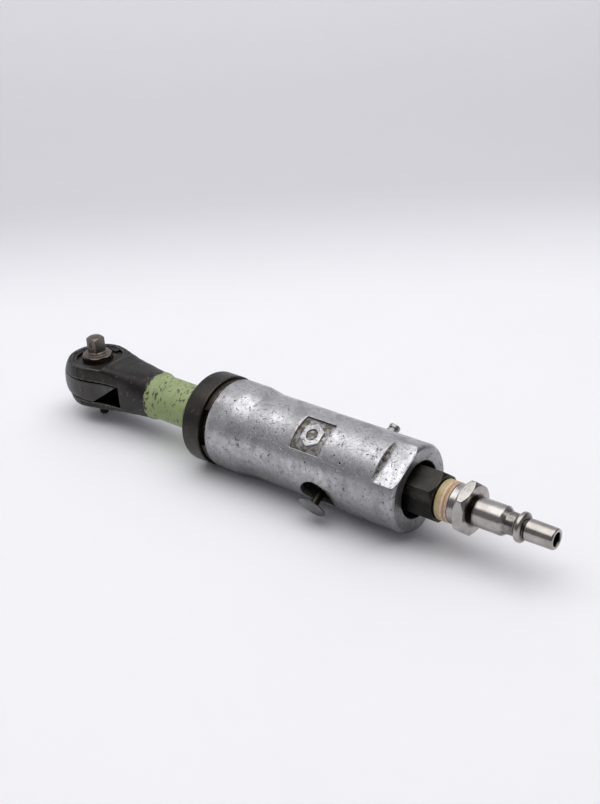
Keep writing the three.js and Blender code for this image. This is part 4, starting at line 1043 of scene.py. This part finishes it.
def hexagon(start, end, vertex_angle, chamfer, radius):
    """A six-sided bar whose corners are turned down in a cone at both ends."""
    outline = dense(soften(polygon(6, radius, vertex_angle), 0.4, 4), 0.5)
    least = radius * math.cos(math.pi / 6) - 0.1
    slope = (radius - least) / chamfer
    limits = []
    for k in range(12):
        depth = chamfer * k / 11
        limits.append((start + depth, least + slope * depth))
        limits.append((end - depth, least + slope * depth))
    rings = []
    for x, limit in sorted(limits):
        shares = [min(1.0, limit / math.hypot(*point)) for point in outline]
        rings.append([(x, y * share, z * share) for (y, z), share in zip(outline, shares)])
    return skin(rings)


def inlet_bushing():
    body = hexagon(BUSHING_START, BUSHING_END, 81.5, 1.7, 11.0)
    join(body, rod(170.0, BUSHING_START + 0.7, 7.45))
    return cut(body, rod(169.0, 199.0, 5.0), rod(190.0, 201.0, 8.25))


def hose_plug():
    body = lathe([
        (190.6, 5.0), (190.6, 7.9), (TAPE_END + 0.3, 7.9), (TAPE_END + 0.3, 8.3),
        (TAPE_END + 0.7, 8.2), (PLUG_HEX_START + 0.7, 8.2),
        (PLUG_HEX_END - 0.5, 8.0), (PLUG_HEX_END, 6.6), (PLUG_HEX_END, 5.1),
        (215.2, 5.1), (215.6, 5.95, 0.3), (227.2, 5.95, 0.3), (227.9, 5.4, 0.3),
        (229.0, 4.6, 0.8), (232.6, 4.5, 0.6), (233.3, 5.3, 0.4), (233.9, 6.05, 0.6),
        (235.3, 6.05, 0.6), (236.0, 5.0, 0.4), (236.3, 4.0, 0.3), (237.5, 4.4, 0.5),
        (PLUG_END - 0.5, 4.25, 0.3), (PLUG_END, 3.9, 0.2), (PLUG_END, 2.9, 0.15),
        (PLUG_END - 0.6, PLUG_BORE), (200.0, PLUG_BORE), (196.0, 5.0),
    ], 0.1, 0.7, steps=144)
    nut = cut(hexagon(PLUG_HEX_START, PLUG_HEX_END, 78.9, 1.5, 11.4), rod(200, 220, 6.0))
    return join(body, nut)


def thread_tape():
    """Windings of tape over the thread: fine ridges that climb round the plug."""
    start, end, low, steps, rows = BUSHING_END + 0.3, TAPE_END, 8.05, 160, 90
    pitch = 1.05
    rings = []
    for k in range(rows + 1):
        x = start + (end - start) * k / rows
        edge = min(1.0, min(k, rows - k) / 3)
        ring = []
        for j in range(steps):
            turn = 2 * math.pi * j / steps
            ridge = 0.5 + 0.5 * math.cos(2 * math.pi * (x - start) / pitch - turn)
            r = low + 0.05 + edge * (0.05 + 0.25 * ridge)
            ring.append((x, r * math.cos(turn), r * math.sin(turn)))
        rings.append(ring)
    rings += [[(x, y, z) for y, z in circle(low, steps)] for x in (end, start)]
    return skin(rings, loop=True)


PIECES = [
    (ratchet_housing, "tool_body", "black_steel", "head"),
    (neck_band, "tool_body", "green_tape", "green"),
    (yoke, "yoke", "worn_steel", "yoke"),
    (anvil, "anvil", "worn_steel", "anvil"),
    (socket_ball, "anvil", "bright_steel", "anvil"),
    (retaining_ring, "tool_body", "black_steel", "lever"),
    (friction_washer, "tool_body", "bronze", "exhaust"),
    (reverse_lever, "reverse_lever", "black_steel", "lever"),
    (coupling_nut, "tool_body", "black_steel", "nut"),
    (exhaust_ring, "tool_body", "bronze", "exhaust"),
    (motor_housing, "tool_body", "cast_aluminium", "aluminium"),
    (throttle_button, "throttle", "bright_steel", "button"),
    (throttle_bush, "tool_body", "bright_steel", "lever"),
    (regulator_screw, "regulator", "bright_steel", "screw"),
    (inlet_bushing, "tool_body", "black_steel", "hex"),
    (hose_plug, "tool_body", "bright_steel", "plug"),
    (thread_tape, "tool_body", "amber_tape", "tape"),
]
for build, body, slot, paint in PIECES:
    deliver(build(), build.__name__, body, paint)

# the CAD parts that stay, inside the tool
KEPT = {
    "bronze": ("crank_bearing_front", "crank_bearing_rear", "drive_bushing", "inlet_screen"),
    "bright": ("pawl_pin", "pawl_plunger", "planet_pin_1", "planet_pin_2", "planet_pin_3",
               "front_rotor_bearing", "rear_rotor_bearing", "alignment_pin"),
    "spring": ("socket_ball_spring", "pawl_spring", "throttle_spring"),
    "rubber": ("motor_gasket", "throttle_valve", "throttle_seal", "regulator_seal"),
    "resin": ("vane_1", "vane_2", "vane_3", "vane_4", "vane_5"),
}
finish_of = {node: paint for paint, nodes in KEPT.items() for node in nodes}
replaced = {build.__name__ for build, *_ in PIECES}
for node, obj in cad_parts.items():
    if node not in replaced:
        obj.data.materials.clear()
        obj.data.materials.append(PAINTS[finish_of.get(node, "hardened")])


# ---------- camera ----------
CAMERA_TURNS = (41.253, 27.160, -3.315)  # azimuth, elevation and roll, in degrees
CAMERA_PLACE = (421.92, -335.09, 230.34)
LENS, SENSOR = 53.94, 36.0


def aim_camera():
    azimuth, elevation, roll = (math.radians(a) for a in CAMERA_TURNS)
    back = Vector((
        math.sin(azimuth) * math.cos(elevation),
        -math.cos(azimuth) * math.cos(elevation),
        math.sin(elevation),
    ))
    level = Vector((math.cos(azimuth), math.sin(azimuth), 0.0))
    rise = back.cross(level)
    right = math.cos(roll) * level + math.sin(roll) * rise
    up = -math.sin(roll) * level + math.cos(roll) * rise
    data = bpy.data.cameras.new("camera")
    data.sensor_width = SENSOR
    data.lens = LENS
    data.clip_start = 0.01
    camera = bpy.data.objects.new("camera", data)
    bpy.context.collection.objects.link(camera)
    turn = Matrix((right, up, back)).transposed().to_4x4()
    turn.translation = Vector(CAMERA_PLACE) * MM
    camera.matrix_world = turn
    bpy.context.scene.camera = camera
    return back


# ---------- studio: lengths in metres ----------
UP = Vector((0, 0, 1))


def studio_paper():
    p = Paint("studio_paper")
    grain = p.noise(60, detail=2)
    height = p.less(p.position()[2], FLOOR_HEIGHT)
    base = p.mix(grain, (0.88, 0.878, 0.905), (0.9, 0.898, 0.922))
    # painted shade: the paper is painted darker where it rises behind the tool, darkest from about
    # 32 to 50 mm above the floor and a little lighter higher up
    base = p.mix(p.math("POWER", p.step(height, 0.0, 32.0), 0.6), base, (0.65, 0.645, 0.68))
    base = p.mix(p.step(height, 50.0, 170.0), base, (0.76, 0.755, 0.785))
    return p.finish(base, p.between(grain, 0.6, 0.7), p.bump(p.noise(1.5), 0.02), 0.0)


def backdrop(away, across):
    """A sheet of paper that lies on the floor and curves up behind the tool."""
    floor = (FLOOR_HEIGHT - DRIVE_TIP) * MM
    centre = Vector((0.12, 0.0, floor))
    bend, curve_start, half_width, height = 0.34, 0.19, 2.5, 2.2
    path = [(-half_width, 0.0), (0.0, 0.0)]
    for k in range(25):
        turn = math.radians(90) * k / 24
        path.append((curve_start + bend * math.sin(turn), bend * (1 - math.cos(turn))))
    path.append((curve_start + bend, height))
    bm = bmesh.new()
    rows = []
    for distance, rise in path:
        middle = centre + away * distance + UP * rise
        edges = (middle - across * half_width, middle + across * half_width)
        rows.append([bm.verts.new(edge) for edge in edges])
    for a, b in zip(rows, rows[1:]):
        bm.faces.new((a[0], a[1], b[1], b[0]))
    paper = to_object(bm)
    paper.name = "floor"
    paper.data.shade_smooth()
    paper.data.materials.append(studio_paper())


def soft_light(name, power, size, at, target):
    data = bpy.data.lights.new(name, "AREA")
    data.shape = "RECTANGLE"
    data.size, data.size_y = size
    data.energy = power
    lamp = bpy.data.objects.new(name, data)
    bpy.context.collection.objects.link(lamp)
    lamp.location = at
    lamp.rotation_euler = (target - at).to_track_quat("-Z", "Y").to_euler()


def light_studio(away, across):
    middle = Vector((0.12, 0.0, -0.02))
    over = middle + away * 0.03 + UP
    soft_light("overhead", 13.6, (1.7, 1.3), over, middle)
    left = middle + across * 1.4 + away * 0.3 + UP * 0.5
    soft_light("left", 1.2, (0.6, 0.9), left, middle)
    world = bpy.data.worlds.new("studio")
    world.use_nodes = True
    sky = world.node_tree.nodes["Background"]
    sky.inputs["Color"].default_value = (0.93, 0.93, 1.0, 1.0)
    sky.inputs["Strength"].default_value = 0.21
    bpy.context.scene.world = world
    bpy.context.scene.view_settings.view_transform = "Standard"


toward_camera = aim_camera()
away = -Vector((toward_camera.x, toward_camera.y, 0.0)).normalized()
across = UP.cross(away)
backdrop(away, across)
light_studio(away, across)
